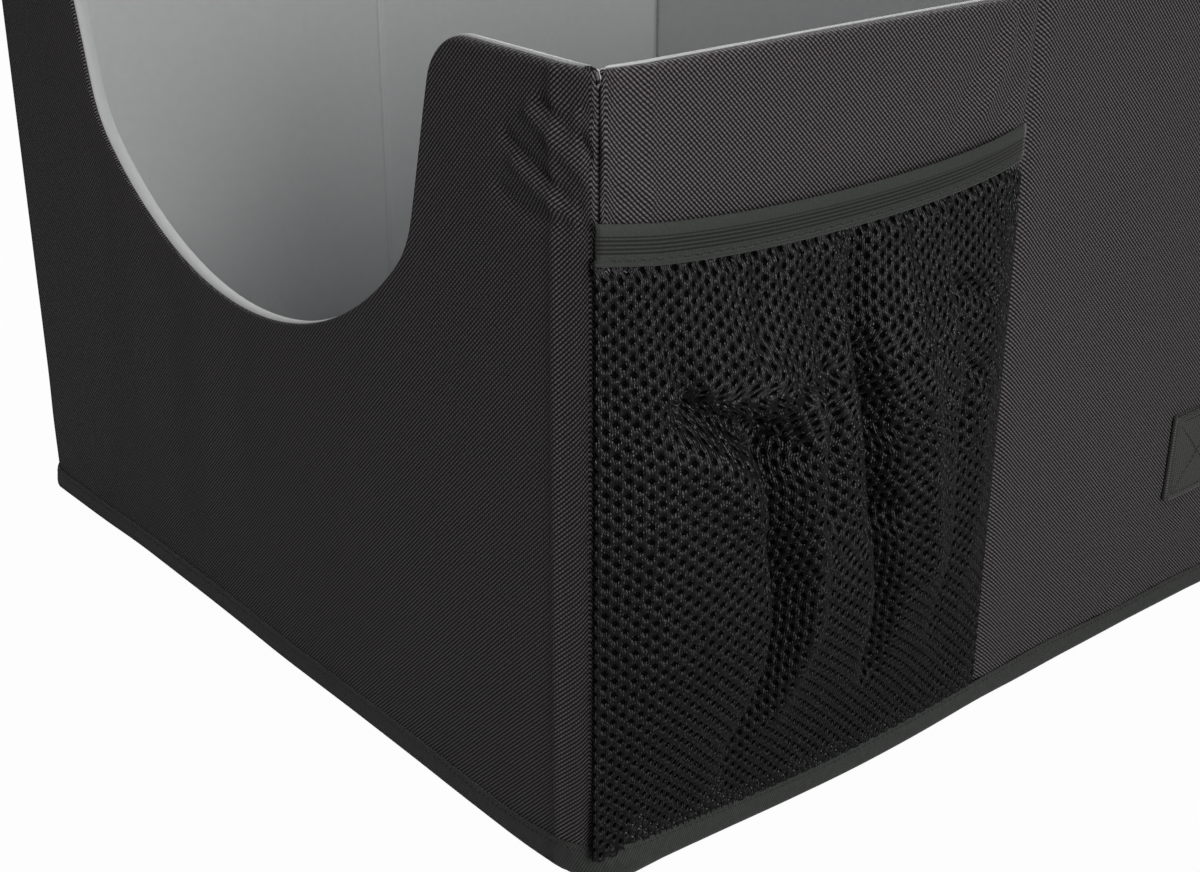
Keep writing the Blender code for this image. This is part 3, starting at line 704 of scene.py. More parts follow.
def new_piece(name, work, finish, replaced, thickness=0, offset=-1):
    """Turn a bmesh into a finished piece that rides on the box."""
    mesh = bpy.data.meshes.new(name)
    work.to_mesh(mesh)
    work.free()
    mesh.shade_smooth()
    piece = bpy.data.objects.new(name, mesh)
    bpy.context.scene.collection.objects.link(piece)
    mesh.materials.append(finish)
    if thickness:
        wall = piece.modifiers.new("cloth thickness", "SOLIDIFY")
        wall.thickness = thickness
        wall.offset = offset
    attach(piece, "root")
    if replaced:
        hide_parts(*replaced)
    return piece


def extrude_row(work, rim, height):
    """Extrude edges into a new row at a height, and give the edges of that row."""
    made = bmesh.ops.extrude_edge_only(work, edges=rim)["geom"]
    for vert in (item for item in made if isinstance(item, bmesh.types.BMVert)):
        vert.co.z = height
    return [item for item in made if isinstance(item, bmesh.types.BMEdge)
            and all(vert.co.z == height for vert in item.verts)]


def wall_place(wall, half_depth, inside=False):
    """Matrix from a wall's own plane (across, up, outwards) to the box."""
    turn = math.radians(WALL_TURN[wall])
    if inside:
        face = Matrix.Translation((0, WALL_THICKNESS - half_depth, 0)) @ Matrix.Rotation(math.pi, 4, "Z")
    else:
        face = Matrix.Translation((0, -half_depth, 0))
    return Matrix.Rotation(turn, 4, "Z") @ face @ Matrix.Rotation(math.pi / 2, 4, "X")


def wall_cloth(half_span, foot, edge, columns, rows, roll, seam, relief, mitre, stray=None, strip_rows=3,
               crown=0.0, tuck=0.0006, handed=1):
    """Cloth of one wall: flat over the board, rolled over the free edge and sewn down at the seam.

    roll and seam give the rolled edge's radius and the depth at which the cloth ends, and relief
    the depth of its unevenness, all for arrays of points. mitre is 1 where the ends lean in with
    the depth, as outside the box, and -1 inside it.
    """
    outline = [(-half_span, foot), (half_span, foot), *edge]
    work = flat_panel(outline, EDGE_RINGS, columns, rows)

    # The strip that wraps the wall's top: each row is marked by its height off the plane
    work.verts.ensure_lookup_table()
    across, up = np.array([vert.co.xy for vert in work.verts]).T
    gap, _, _ = nearest_on_line(across, up, edge)
    on_edge = {vert for vert, away in zip(work.verts, gap) if away < WELD}
    rim = [side for side in work.edges if side.is_boundary and set(side.verts) <= on_edge]
    for row in range(1, strip_rows + 1):
        rim = extrude_row(work, rim, row)

    across, up, row = np.array([vert.co for vert in work.verts]).T
    gap, normal, _ = nearest_on_line(across, up, edge)
    wrapped = row / strip_rows
    radius, end = roll(across, up), seam(across, up)
    inward = np.clip(radius - gap, 0, None)
    rolled = radius - np.sqrt(np.clip(radius ** 2 - inward ** 2, 0, None))
    wrap_depth = radius + (end - radius) * wrapped
    hollow = relief(across, up)
    depth = np.where(row > 0, wrap_depth + hollow * (1 - wrapped), rolled + hollow)
    swell = np.where(row > 0, crown * np.sin(math.pi * wrapped) - tuck * wrapped ** 3, 0)
    beside_end = smooth_step(1 - (half_span - np.abs(across)) / CORNER_STRIP)
    shifted = across + normal[:, 0] * swell - np.sign(across) * mitre * depth * beside_end
    raised = up + normal[:, 1] * swell
    if stray:
        outwards, upwards = stray(across, up)
        depth = depth - outwards
        raised += upwards

    # On the flat cloth the twill turns back along the corner seams
    strip = half_span - 4.5 * MM
    mirrored = np.where(np.abs(across) > strip, np.sign(across) * (2 * strip - np.abs(across)), across)
    flat_up = up + np.where(row > 0, wrap_depth, 0)
    set_cloth_map(work, np.stack([handed * mirrored, flat_up], 1))

    for vert, place in zip(work.verts, np.stack([shifted, raised, -depth], 1)):
        vert.co = place
    face_along(work, Vector((0, 0, 1)))
    return work


def face_along(work, direction):
    """Make the faces agree, with most of their area looking along a direction."""
    bmesh.ops.recalc_face_normals(work, faces=work.faces)
    work.normal_update()
    if sum(face.normal.dot(direction) * face.calc_area() for face in work.faces) < 0:
        bmesh.ops.reverse_faces(work, faces=work.faces)


def on_flat_top(up):
    return smooth_step((up - (HEIGHT - 22 * MM)) / (20 * MM))


def cover_seam(along, up, sided):
    """Depth under the outer face at which the cover meets the lining on the wall's top edge."""
    depth = 2.3 * MM + (3.7 if sided else 2.4) * MM * on_flat_top(up)
    if sided:
        # On a side wall the cover takes over the whole top towards the rear
        depth += 2.6 * MM * smooth_step((along + 0.235) / 0.13) * on_flat_top(up)
    return depth


def seam_drop(wall, across, drop, near_drop):
    """One value at each end's upright seam, and another at the slack near corner."""
    slack_end = {"front": 1, "right": -1}.get(wall, 0)
    return np.where(np.sign(across) == slack_end, near_drop, drop)


def corner_relief(across, up, half_span, drop, pull, trough):
    """Depth beside the upright corner seams, where no board holds the cloth out."""
    away = half_span - np.abs(across)
    slope = np.clip(1 - away / SLACK_STRIP, 0, None)
    fall = drop * (0.75 * slope + 0.25 * smooth_step(slope))
    groove = trough * (np.exp(-(away / (2.0 * MM)) ** 2) + 0.8 * np.exp(-(away / (0.8 * MM)) ** 2))
    ridge = -0.45 * trough * np.exp(-((away - SLACK_STRIP) / (3.0 * MM)) ** 2)
    # At the foot the corner is drawn in under the tape, which goes round it in a curve
    pulled = pull * np.clip(1 - away / 0.0235, 0, None) ** 2 * smooth_step((0.055 - up) / 0.040)
    return fall + groove + ridge + pulled


def fold_wander(up):
    """How far the stitched line strays from the middle of a side wall."""
    return 0.0012 * np.sin(up * 21) + 0.0008 * np.sin(up * 57)


def fold_relief(across, up, depth):
    """Valley stitched down the middle of a side wall."""
    away = np.abs(across - fold_wander(up))
    return depth * np.exp(-(away / (3.4 * MM)) ** 2) - 0.5 * MM * np.exp(-((away - 9 * MM) / (4 * MM)) ** 2)


def half_span_of(wall):
    return HALF_WIDTH if wall in ("front", "back") else HALF_LENGTH


def half_depth_of(wall):
    return HALF_LENGTH if wall in ("front", "back") else HALF_WIDTH


# Stretches across each wall, in millimetres, that are wrinkled near the top and get a finer grid
CREASED_COLUMNS = {"front": ((207, 272.5),), "right": ((-253.5, -222), (-60, -9), (92, 190))}
FOLD_CUTS = tuple(sign * cut * MM for cut in (0.5, 1.5, 2.5, 3.8, 5.5, 8) for sign in (-1, 1))
CREASES = {"front": FRONT_CREASES, "right": RIGHT_CREASES, "back": BACK_CREASES, "left": RIGHT_CREASES}


class FABRICBOX_OT_covers(bpy.types.Operator):
    """Make the outer cloth of the four walls"""

    bl_idname = "fabric_box.covers"
    bl_label = "Outer covers"

    def execute(self, context):
        cloth = context.scene.fabric_box_cloth
        finish = charcoal_twill(cloth)
        for seed, wall in enumerate(WALL_TURN):
            half_span = half_span_of(wall)
            sided = wall in ("right", "left")
            handed = -1 if sided else 1
            edge = free_edge(half_span, 5.5 * MM, SCOOP_MIDDLE if wall == "front" else None)
            mirrored = -1 if wall == "left" else 1

            def relief(across, up):
                drop = seam_drop(wall, across, cloth.corner_drop, cloth.near_corner_drop)
                pull = seam_drop(wall, across, 0.6 * MM, 4.2 * MM)
                trough = seam_drop(wall, across, 0.3 * MM, 1.9 * MM)
                depth = corner_relief(across, up, half_span, drop, pull, trough)
                loose = creases(mirrored * across, up, CREASES[wall])
                loose += cloth.unevenness * uneven(across, up, 3.7 * seed)
                # The two walls' cloths meet at the seam, so nothing strays there
                depth += loose * smooth_step((half_span - np.abs(across)) / (4 * MM))
                # Over the boards the cloth can sink only a little
                over_board = half_span - np.abs(across) > 13 * MM
                depth = np.where(over_board, np.minimum(depth, 1.9 * MM), depth)
                if sided:
                    depth += fold_relief(across, up, cloth.fold_depth)
                return depth

            def stray(across, up):
                return foot_stray(wall, across, up)

            def roll(across, up):
                return 1.5 * MM + 1.3 * MM * on_flat_top(up)

            def seam(across, up):
                return cover_seam(mirrored * across, up, sided)

            ends = (CORNER_STRIP, CORNER_STRIP * 0.8, CORNER_STRIP * 0.5, CORNER_STRIP * 1.4)
            extra = [sign * (half_span - end) for end in ends for sign in (-1, 1)]
            if sided:
                extra += FOLD_CUTS
            foot = WALL_FOOT - 3 * MM
            columns = spread(-half_span, half_span, cloth.grid_pitch, extra)
            rows = spread(foot, HEIGHT, cloth.grid_pitch)
            for low, high in CREASED_COLUMNS.get(wall, ()):
                columns = finer(columns, low * MM, high * MM, cloth.crease_pitch)
            if wall in CREASED_COLUMNS:
                rows = finer(rows, 294 * MM, 362 * MM, cloth.crease_pitch)
            work = wall_cloth(
                half_span, foot, edge, columns, rows,
                roll, seam, relief, mitre=1, stray=stray, handed=handed,
            )
            work.transform(wall_place(wall, half_depth_of(wall)))
            piece = new_piece(f"{wall}_outer_cloth", work, finish, [f"{wall}_cover"],
                              cloth.cover_thickness)
        return {"FINISHED"}


class FABRICBOX_OT_linings(bpy.types.Operator):
    """Make the pale lining of the four walls, which wraps over the scoop's edge"""

    bl_idname = "fabric_box.linings"
    bl_label = "Linings"

    def execute(self, context):
        cloth = context.scene.fabric_box_cloth
        finish = pale_lining(cloth)
        for seed, wall in enumerate(WALL_TURN):
            half_span = half_span_of(wall) - WALL_THICKNESS + 0.2 * MM
            sided = wall in ("right", "left")
            edge = free_edge(half_span, 5.0 * MM, -SCOOP_MIDDLE if wall == "front" else None)

            def relief(across, up):
                away = half_span - np.abs(across)
                depth = 1.8 * MM * np.exp(-(away / (1.6 * MM)) ** 2)
                depth += 0.6 * cloth.unevenness * uneven(across, up, 31 + 2.3 * seed, 0.09, 0.024)
                if sided:
                    depth += 2.6 * MM * np.exp(-(across / (1.3 * MM)) ** 2)
                return depth

            # Seen from inside, across runs the other way
            mirrored = 1 if wall == "left" else -1

            def seam(across, up):
                # At the corners the lining ends farther in, as the covers there fall in
                fallen = seam_drop(wall, mirrored * across, 0.6 * MM, 3.6 * MM)
                beside = np.clip(1 - (half_span - np.abs(across)) / (15 * MM), 0, None)
                under = 0.5 * MM - fallen * beside
                return WALL_THICKNESS - cover_seam(mirrored * across, up, sided) + under

            def roll(across, up):
                return np.minimum(2.3 * MM, 0.8 * seam(across, up))

            extra = [sign * (half_span - end * MM) for end in (1.2, 2.6, 5) for sign in (-1, 1)]
            extra += FOLD_CUTS if sided else ()
            foot = WALL_FOOT
            work = wall_cloth(
                half_span, foot, edge,
                spread(-half_span, half_span, cloth.lining_pitch, extra),
                spread(foot, HEIGHT, cloth.lining_pitch),
                roll, seam, relief, mitre=-1, strip_rows=5, crown=0.5 * MM, tuck=0.9 * MM,
            )
            work.transform(wall_place(wall, half_depth_of(wall), inside=True))
            piece = new_piece(f"{wall}_inner_cloth", work, finish, [f"{wall}_lining"],
                              cloth.lining_thickness)
        return {"FINISHED"}


class FABRICBOX_OT_base(bpy.types.Operator):
    """Finish the boards, the floor lining and the cloth underneath"""

    bl_idname = "fabric_box.base"
    bl_label = "Boards and base"

    def execute(self, context):
        cloth = context.scene.fabric_box_cloth
        board = foam_board()
        for name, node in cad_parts.items():
            if name.endswith("_board"):
                node.data.materials.clear()
                node.data.materials.append(board)
        work = bmesh.new()
        work.from_mesh(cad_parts["floor_lining"].data)
        bmesh.ops.remove_doubles(work, verts=work.verts, dist=WELD)
        work.verts.index_update()
        set_cloth_map(work, [(vert.co.x, vert.co.y) for vert in work.verts])
        piece = new_piece("floor_lining_cloth", work, bpy.data.materials["calendered_polyester_lining"],
                          ["floor_lining"])
        piece.data.set_sharp_from_angle(angle=math.radians(35))

        # The cloth underneath turns up round the board's edge and ends inside the tape
        points, normal, _ = tape_path()
        plan = points - normal * 4.5 * MM
        turned_up = 7 * MM
        work = flat_panel(plan, (1.0 * MM, 2.5 * MM), (), ())
        extrude_row(work, [side for side in work.edges if side.is_boundary], turned_up)
        work.verts.index_update()
        set_cloth_map(work, [(vert.co.x, vert.co.y + vert.co.z) for vert in work.verts])
        face_along(work, Vector((0, 0, -1)))
        piece = new_piece("base_cover_cloth", work, bpy.data.materials["charcoal_polyester_twill"],
                          ["base_cover"], 0.6 * MM)
        return {"FINISHED"}


class FABRICBOX_OT_floor_pad(bpy.types.Operator):
    """Make the loose floor pad, crowned and rounded, with a seam round its middle"""

    bl_idname = "fabric_box.floor_pad"
    bl_label = "Floor pad"

    def execute(self, context):
        size = PAD_HIGH - PAD_LOW
        work = bmesh.new()
        bmesh.ops.create_grid(work, x_segments=48, y_segments=44, size=0.5)
        rim = [side for side in work.edges if side.is_boundary]
        for row in range(1, 7):
            rim = extrude_row(work, rim, row)
        bmesh.ops.holes_fill(work, edges=rim, sides=0)
        across, along, row = np.array([vert.co for vert in work.verts]).T
        thick = size.z
        # Heights and insets of the rows that go down the side, past the seam at mid height
        seam_fall = 0.5 * thick / MM
        fall = np.array([0, 2.6, 9, seam_fall - 2, seam_fall + 2, thick / MM - 8, thick / MM]) * MM
        inset = np.array([9, 2.6, 0.2, 0.8, 0.8, 0.3, 6]) * MM
        row = row.astype(int)
        half_x, half_y = size.x / 2 - inset[row], size.y / 2 - inset[row]
        crown = np.where(row == 0, 1, 0) * (1 - (2 * across) ** 2) * (1 - (2 * along) ** 2)
        height = PAD_HIGH.z - 3.0 * MM - fall[row] + 3.0 * MM * crown
        height += np.where(row == 0, 0.5 * MM * uneven(across, along, 11, 0.25, 0.06), 0)
        for vert, place in zip(work.verts, np.stack([2 * across * half_x, 2 * along * half_y, height], 1)):
            vert.co = place
        bmesh.ops.recalc_face_normals(work, faces=work.faces)
        set_cloth_map(work, [(vert.co.x, vert.co.y) for vert in work.verts])
        piece = new_piece("padded_floor", work, brushed_pad_cloth(), ["floor_pad"])
        return {"FINISHED"}


def points_between(start, end):
    """Even points of a straight side, without its two ends."""
    count = int(np.hypot(*(end - start)) / TAPE_STEP)
    return [tuple(start + (end - start) * step / count) for step in range(1, count)]


def tape_path():
    """Plan line of the bottom edge, with its outward directions and its length so far."""
    half_x, half_y = BINDING_HIGH.x, BINDING_HIGH.y
    points = []
    for turn, (sign_x, sign_y) in enumerate(((1, -1), (1, 1), (-1, 1), (-1, -1))):
        # Only the slack near corner is round
        radius = CORNER_RADIUS if turn else SLACK_CORNER_RADIUS
        centre = (sign_x * (half_x - radius), sign_y * (half_y - radius))
        start = (turn - 1) * math.pi / 2
        corner = arc(centre, radius, start, start + math.pi / 2, 9)
        if points:
            last = np.array(points[-1])
            far = np.array(corner[0])
            points += points_between(last, far)
        points += corner
    last, far = np.array(points[-1]), np.array(points[0])
    points = np.array(points + points_between(last, far))
    ahead, behind = np.roll(points, -1, 0), np.roll(points, 1, 0)
    way = ahead - behind
    normal = np.stack([way[:, 1], -way[:, 0]], 1)
    normal /= np.linalg.norm(normal, axis=1)[:, None]
    return points, normal, run_along(points)


def tape_stray(points, normal):
    """How far the tape strays outwards and upwards with the feet of the walls."""
    x, y = points.T
    foot = np.full(len(x), WALL_FOOT)
    side = foot_stray("right", y, foot)
    front, back = foot_stray("front", x, foot), foot_stray("back", -x, foot)
    share = normal[:, 0] ** 2
    return [share * beside + (1 - share) * np.where(y < 0, before, behind)
            for beside, before, behind in zip(side, front, back)]


def tape_height(points):
    """Height of the tape's upper edge round the box, which wanders a little by hand sewing."""
    x, y = points.T
    near_corner = np.exp(-(np.hypot(x - HALF_WIDTH, y + HALF_LENGTH) / 0.05) ** 2)
    wander = np.array([noise.noise(Vector((a / 0.09, b / 0.09, 5.1))) for a, b in points])
    on_side = np.clip((np.abs(x) - HALF_WIDTH + 0.01) / 0.01, 0, 1)
    return (12.6 + 4.0 * near_corner + wander * (1.2 + 1.8 * on_side)) * MM


class FABRICBOX_OT_binding(bpy.types.Operator):
    """Fold the binding tape round the bottom edge; the Stitches step sews it on"""

    bl_idname = "fabric_box.binding"
    bl_label = "Bottom binding"

    def execute(self, context):
        trim = context.scene.fabric_box_trim
        points, normal, run = tape_path()
        top = tape_height(points)
        stray, rise = tape_stray(points, normal)
        points = points + normal * stray[:, None]
        # Section of the folded tape: how far out from the path in millimetres, and the share of its height
        section = (
            (-4.8, 0.10), (-3.4, 0.0), (-1.6, 0.0), (-0.5, 0.06), (0.0, 0.18), (0.05, 0.35), (-0.25, 0.55),
            (-0.55, 0.75), (-0.8, 0.90), (-1.1, 0.985), (-1.6, 1.0), (-2.3, 0.95), (-3.0, 0.7), (-4.8, 0.55),
        )
        work = bmesh.new()
        first = [work.verts.new((x, y, 0)) for x, y in points]
        rim = [work.edges.new((first[at - 1], first[at])) for at in range(len(first))]
        rows = [first]
        for _ in section[1:]:
            made = bmesh.ops.extrude_edge_only(work, edges=rim)["geom"]
            fresh = [item for item in made if isinstance(item, bmesh.types.BMVert)]
            known = set(fresh)
            rim = [item for item in made if isinstance(item, bmesh.types.BMEdge) and set(item.verts) <= known]
            order = {}
            for vert in fresh:
                for side in vert.link_edges:
                    other = side.other_vert(vert)
                    if other not in known:
                        order[other] = vert
            rows.append([order[vert] for vert in rows[-1]])
        flat = {}
        girth = 0
        for number, (row, (out, share)) in enumerate(zip(rows, section)):
            if number:
                girth += math.hypot(out - section[number - 1][0], (share - section[number - 1][1]) * 12) * MM
            for vert, point, way, height, lift, along in zip(row, points, normal, top, rise, run):
                vert.co = (point[0] + way[0] * out * MM, point[1] + way[1] * out * MM, height * share + lift)
                flat[vert] = (along, girth)
        ends = [side for side in work.edges if side.is_boundary]
        bmesh.ops.bridge_loops(work, edges=ends)
        bmesh.ops.recalc_face_normals(work, faces=work.faces)
        work.verts.index_update()
        set_cloth_map(work, [flat[vert] for vert in work.verts])
        new_piece("bottom_tape", work, binding_tape(trim), ["bottom_binding"])
        return {"FINISHED"}


def pocket_bulge(across, up):
    """How far the mesh stands off the wall, for shares of the pocket from 0 to 1."""
    side_share = 1 - np.abs(2 * across - 1) ** POCKET_SIDE_POWER
    foot_share = smooth_step(up / POCKET_FOOT_RISE)
    head_share = smooth_step((1 - up) / POCKET_HEAD_FALL)
    bulge = POCKET_MOUTH_STANDOFF + (POCKET_BULGE - POCKET_MOUTH_STANDOFF) * head_share
    start, head = POCKET_START, mouth_height(across) - ELASTIC_WIDTH
    foot = WALL_FOOT
    from_corner = (start + (POCKET_END - start) * across + HALF_LENGTH) / MM
    height = (foot + (head - foot) * up) / MM
    taken = np.zeros(len(across))
    for share, left, right, line in POCKET_FOLDS:
        gap, _, side = nearest_on_line(from_corner, height, line)
        taken += share * np.exp(-(gap / np.where(side > 0, left, right)) ** 2)
    pleats = np.sin(from_corner / 2.1 + 1.5 * np.sin(from_corner / 17)) * np.exp(-(1 - up) / 0.07)
    gathered = bulge * foot_share * side_share * np.clip(1 - taken, 0.04, None)
    # The mesh's top ends behind the elastic
    tucked = 2.8 * MM * smooth_step((up - 0.972) / 0.016)
    return gathered + 1.1 * MM * pleats * side_share - tucked


def mouth_height(across):
    return ELASTIC_HIGH.z - MOUTH_SAG * (1 - (2 * across - 1) ** 2)


def pocket_fall(y):
    """How far the wall under the pocket falls in towards the near corner."""
    near_drop = bpy.context.scene.fabric_box_cloth.near_corner_drop
    return near_drop * np.clip(1 - (y + HALF_LENGTH) / SLACK_STRIP, 0, None)


def pocket_place(across, up):
    """Points of the pocket's mesh for shares of the pocket's width and height."""
    y = POCKET_START + (POCKET_END - POCKET_START) * across
    foot, head = WALL_FOOT, mouth_height(across) - ELASTIC_WIDTH + 1.5 * MM
    z = foot + (head - foot) * up
    outwards, upwards = foot_stray("right", y, z)
    x = HALF_WIDTH - pocket_fall(y) + outwards + 0.7 * MM + pocket_bulge(across, up)
    return np.stack([x, y, z + upwards], 1)


def even_spread(flat_across, flat_up):
    """Turn shares of the flat mesh into shares of the pocket, so that its columns keep their width."""
    rows, columns = 60, 500
    grid = np.linspace(0, 1, columns + 1)
    table = []
    for row in np.linspace(0, 1, rows + 1):
        line = pocket_place(grid, np.full(len(grid), row))
        run = run_along(line)
        table.append(np.interp(grid, run / run[-1], grid))
    table = np.array(table)
    # Kept just under the last row, so that there is always a row above
    at_row = np.clip(flat_up * rows, 0, rows - 0.001)
    low = at_row.astype(int)
    share = at_row - low
    at_column = np.clip(flat_across, 0, 1) * columns
    left = np.minimum(at_column.astype(int), columns - 1)
    part = at_column - left
    near = table[low, left] * (1 - part) + table[low, left + 1] * part
    far = table[low + 1, left] * (1 - part) + table[low + 1, left + 1] * part
    return near * (1 - share) + far * share


def drape(work, flat_width, flat_height, lift):
    """Lay a flat mesh, in metres from its lower left corner, on the pocket, raised by lift."""
    flat = np.array([vert.co for vert in work.verts])
    across, up = np.clip(flat[:, 0] / flat_width, 0, 1), np.clip(flat[:, 1] / flat_height, 0, 1)
    set_cloth_map(work, flat[:, :2])
    step = 0.002
    here = pocket_place(even_spread(across, up), up)
    right = pocket_place(even_spread(np.clip(across + step, 0, 1), up), up)
    left = pocket_place(even_spread(np.clip(across - step, 0, 1), up), up)
    above_up, below_up = np.clip(up + step, 0, 1), np.clip(up - step, 0, 1)
    above = pocket_place(even_spread(across, above_up), above_up)
    below = pocket_place(even_spread(across, below_up), below_up)
    normal = np.cross(right - left, above - below)
    normal /= np.linalg.norm(normal, axis=1)[:, None]
    normal = np.where(normal[:, :1] < 0, -normal, normal)
    placed = here + normal * (flat[:, 2:] + lift)
    for vert, place in zip(work.verts, placed):
        vert.co = place


class FABRICBOX_OT_pocket(bpy.types.Operator):
    """Knit the gathered mesh of the side pocket and its closed back"""

    bl_idname = "fabric_box.pocket"
    bl_label = "Mesh pocket"

    def execute(self, context):
        pocket = context.scene.fabric_box_pocket
        flat_width, flat_height = FLAT_MESH_WIDTH, FLAT_MESH_HEIGHT
        column, row = pocket.column_pitch, pocket.row_pitch
        work = bmesh.new()
        # Hexagons of radius 1 fit together in columns 1.5 apart and in rows the root of 3 apart
        cell = Matrix.Diagonal((column / 1.5, row / math.sqrt(3), 1, 1))
        cell = cell @ Matrix.Rotation(math.pi / 6, 4, "Z")
        for across in range(int(flat_width / column) + 2):
            for up in range(int(flat_height / row) + 2):
                centre = (across * column, (up + 0.5 * (across % 2)) * row, 0)
                bmesh.ops.create_circle(
                    work, cap_ends=True, radius=1, segments=6, matrix=Matrix.Translation(centre) @ cell
                )
        bmesh.ops.remove_doubles(work, verts=work.verts, dist=0.05 * MM)
        cells = list(work.faces)
        bmesh.ops.inset_individual(work, faces=cells, thickness=0.3 * MM, use_even_offset=True)
        bmesh.ops.inset_individual(work, faces=cells, thickness=0.2 * MM, use_even_offset=True)
        for face in cells:
            centre = face.calc_center_median()
            for vert in face.verts:
                way = (vert.co - centre).normalized()
                vert.co = centre + Vector((way.x, way.y * HOLE_STRETCH, 0)) * pocket.hole_radius
                vert.co.z = -0.7 * MM
        bmesh.ops.delete(work, geom=cells, context="FACES_ONLY")
        for axis, low, high in ((0, 0, flat_width), (1, 0, flat_height)):
            direction = Vector((1 - axis, axis, 0))
            for place, way in ((low, -1), (high, 1)):
                bmesh.ops.bisect_plane(
                    work, geom=[*work.verts, *work.edges, *work.faces], dist=SAME_POINT,
                    plane_co=direction * place, plane_no=direction * way, clear_outer=True,
                )
        # The cut's flat area without its holes, seen square on before the net is draped
        work.normal_update()
        solid_area = sum(face.calc_area() * abs(face.normal.z) for face in work.faces)
        drape(work, flat_width, flat_height, 0.9 * MM)
        face_along(work, Vector((1, 0, 0)))
        net = new_piece("pocket_net", work, spacer_mesh(pocket), ["pocket_mesh"],
                        pocket.mesh_thickness)

        work = bmesh.new()
        bmesh.ops.create_grid(work, x_segments=120, y_segments=70, size=0.5)
        for vert in work.verts:
            vert.co = ((vert.co.x + 0.5) * flat_width, (vert.co.y + 0.5) * flat_height, 0)
        drape(work, flat_width, flat_height, -0.9 * MM)
        face_along(work, Vector((1, 0, 0)))
        back = new_piece("pocket_net_back", work, mesh_backing_painted_shade(pocket), None, 0.4 * MM)
        return {"FINISHED"}


def elastic_face(across, down):
    """Middle line of the elastic, for shares of its length and of its width from the top."""
    y = POCKET_START + (POCKET_END - POCKET_START) * across
    side_share = 1 - np.abs(2 * across - 1) ** POCKET_SIDE_POWER
    x = HALF_WIDTH - pocket_fall(y) + 1.9 * MM + POCKET_MOUTH_STANDOFF * side_share
    z = mouth_height(across) - ELASTIC_WIDTH * down
    return np.stack([x, y, z], 1)


# Lengthwise grooves of the elastic: share of its width from the top, depth in millimetres
ELASTIC_GROOVES = ((0.336, 0.35), (0.432, 0.35), (0.528, 0.35), (0.624, 0.35), (0.72, 0.35), (0.91, 0.9))


class FABRICBOX_OT_elastic(bpy.types.Operator):
    """Make the ribbed elastic that hems the pocket's mouth"""

    bl_idname = "fabric_box.elastic"
    bl_label = "Pocket elastic"

    def execute(self, context):
        pocket = context.scene.fabric_box_pocket
        work = bmesh.new()
        bmesh.ops.create_grid(work, x_segments=90, y_segments=64, size=0.5)
        across, down = np.array([(vert.co.x + 0.5, 0.5 - vert.co.y) for vert in work.verts]).T
        set_cloth_map(work, np.stack([across * (POCKET_END - POCKET_START), -down * ELASTIC_WIDTH], 1))
        placed = elastic_face(across, down)
        edge = np.abs(2 * down - 1)
        crown = -1.0 * MM * edge ** 6
        for share, depth in ELASTIC_GROOVES:
            crown -= depth * MM * np.exp(-((down - share) / 0.025) ** 2)
        for vert, place, out in zip(work.verts, placed, crown):
            vert.co = (place[0] + out, place[1], place[2])
        face_along(work, Vector((1, 0, 0)))
        band = new_piece("pocket_elastic_band", work, ribbed_elastic(pocket),
                         ["pocket_elastic"], pocket.elastic_thickness)
        return {"FINISHED"}


def strap_line(sign):
    """Plan line of the webbing from its turned-under end to the rear."""
    layer = STRAP_LAYER
    seat = HALF_WIDTH + STRAP_SEAT
    front, rear = STRAP_LOW.y, STRAP_HIGH.y
    line = [(seat, front + 46 * MM), (seat, front + 20 * MM), (seat, front + 1.5 * MM),
            (seat + 0.3 * layer, front + 0.4 * MM), (seat + 0.8 * layer, front + 0.4 * MM),
            (seat + 1.1 * layer, front + 1.5 * MM), (seat + 1.1 * layer, front + 20 * MM),
            (seat + 1.1 * layer, front + 44 * MM), (seat + 0.6 * layer, front + 48 * MM),
            (seat, front + 52 * MM), (seat, (front + 52 * MM + rear) / 2), (seat, rear)]
    return np.array([(sign * x, y) for x, y in line])


def strap_face(y):
    """Height of the webbing's face over the middle plane at places along the strap."""
    front = STRAP_LOW.y
    line = ((front, 1.1), (front + 44 * MM, 1.1), (front + 48 * MM, 0.6), (front + 52 * MM, 0))
    places, layers = np.array(line).T
    raised = np.interp(y, places, layers) * STRAP_LAYER
    return HALF_WIDTH + STRAP_SEAT + raised + 0.8 * MM + 0.25 * MM * np.sin(y * 160)


# Lines of stitches on a strap's end, in millimetres from its end and from its middle
STRAP_SEWING = (
    ((3, -21.5), (3, 21.5)), ((3, 21.5), (44, 21.5)), ((44, 21.5), (44, -21.5)), ((44, -21.5), (3, -21.5)),
    ((3, -21.5), (44, 21.5)), ((3, 21.5), (44, -21.5)), ((56, -22.5), (56, 22.5)),
)


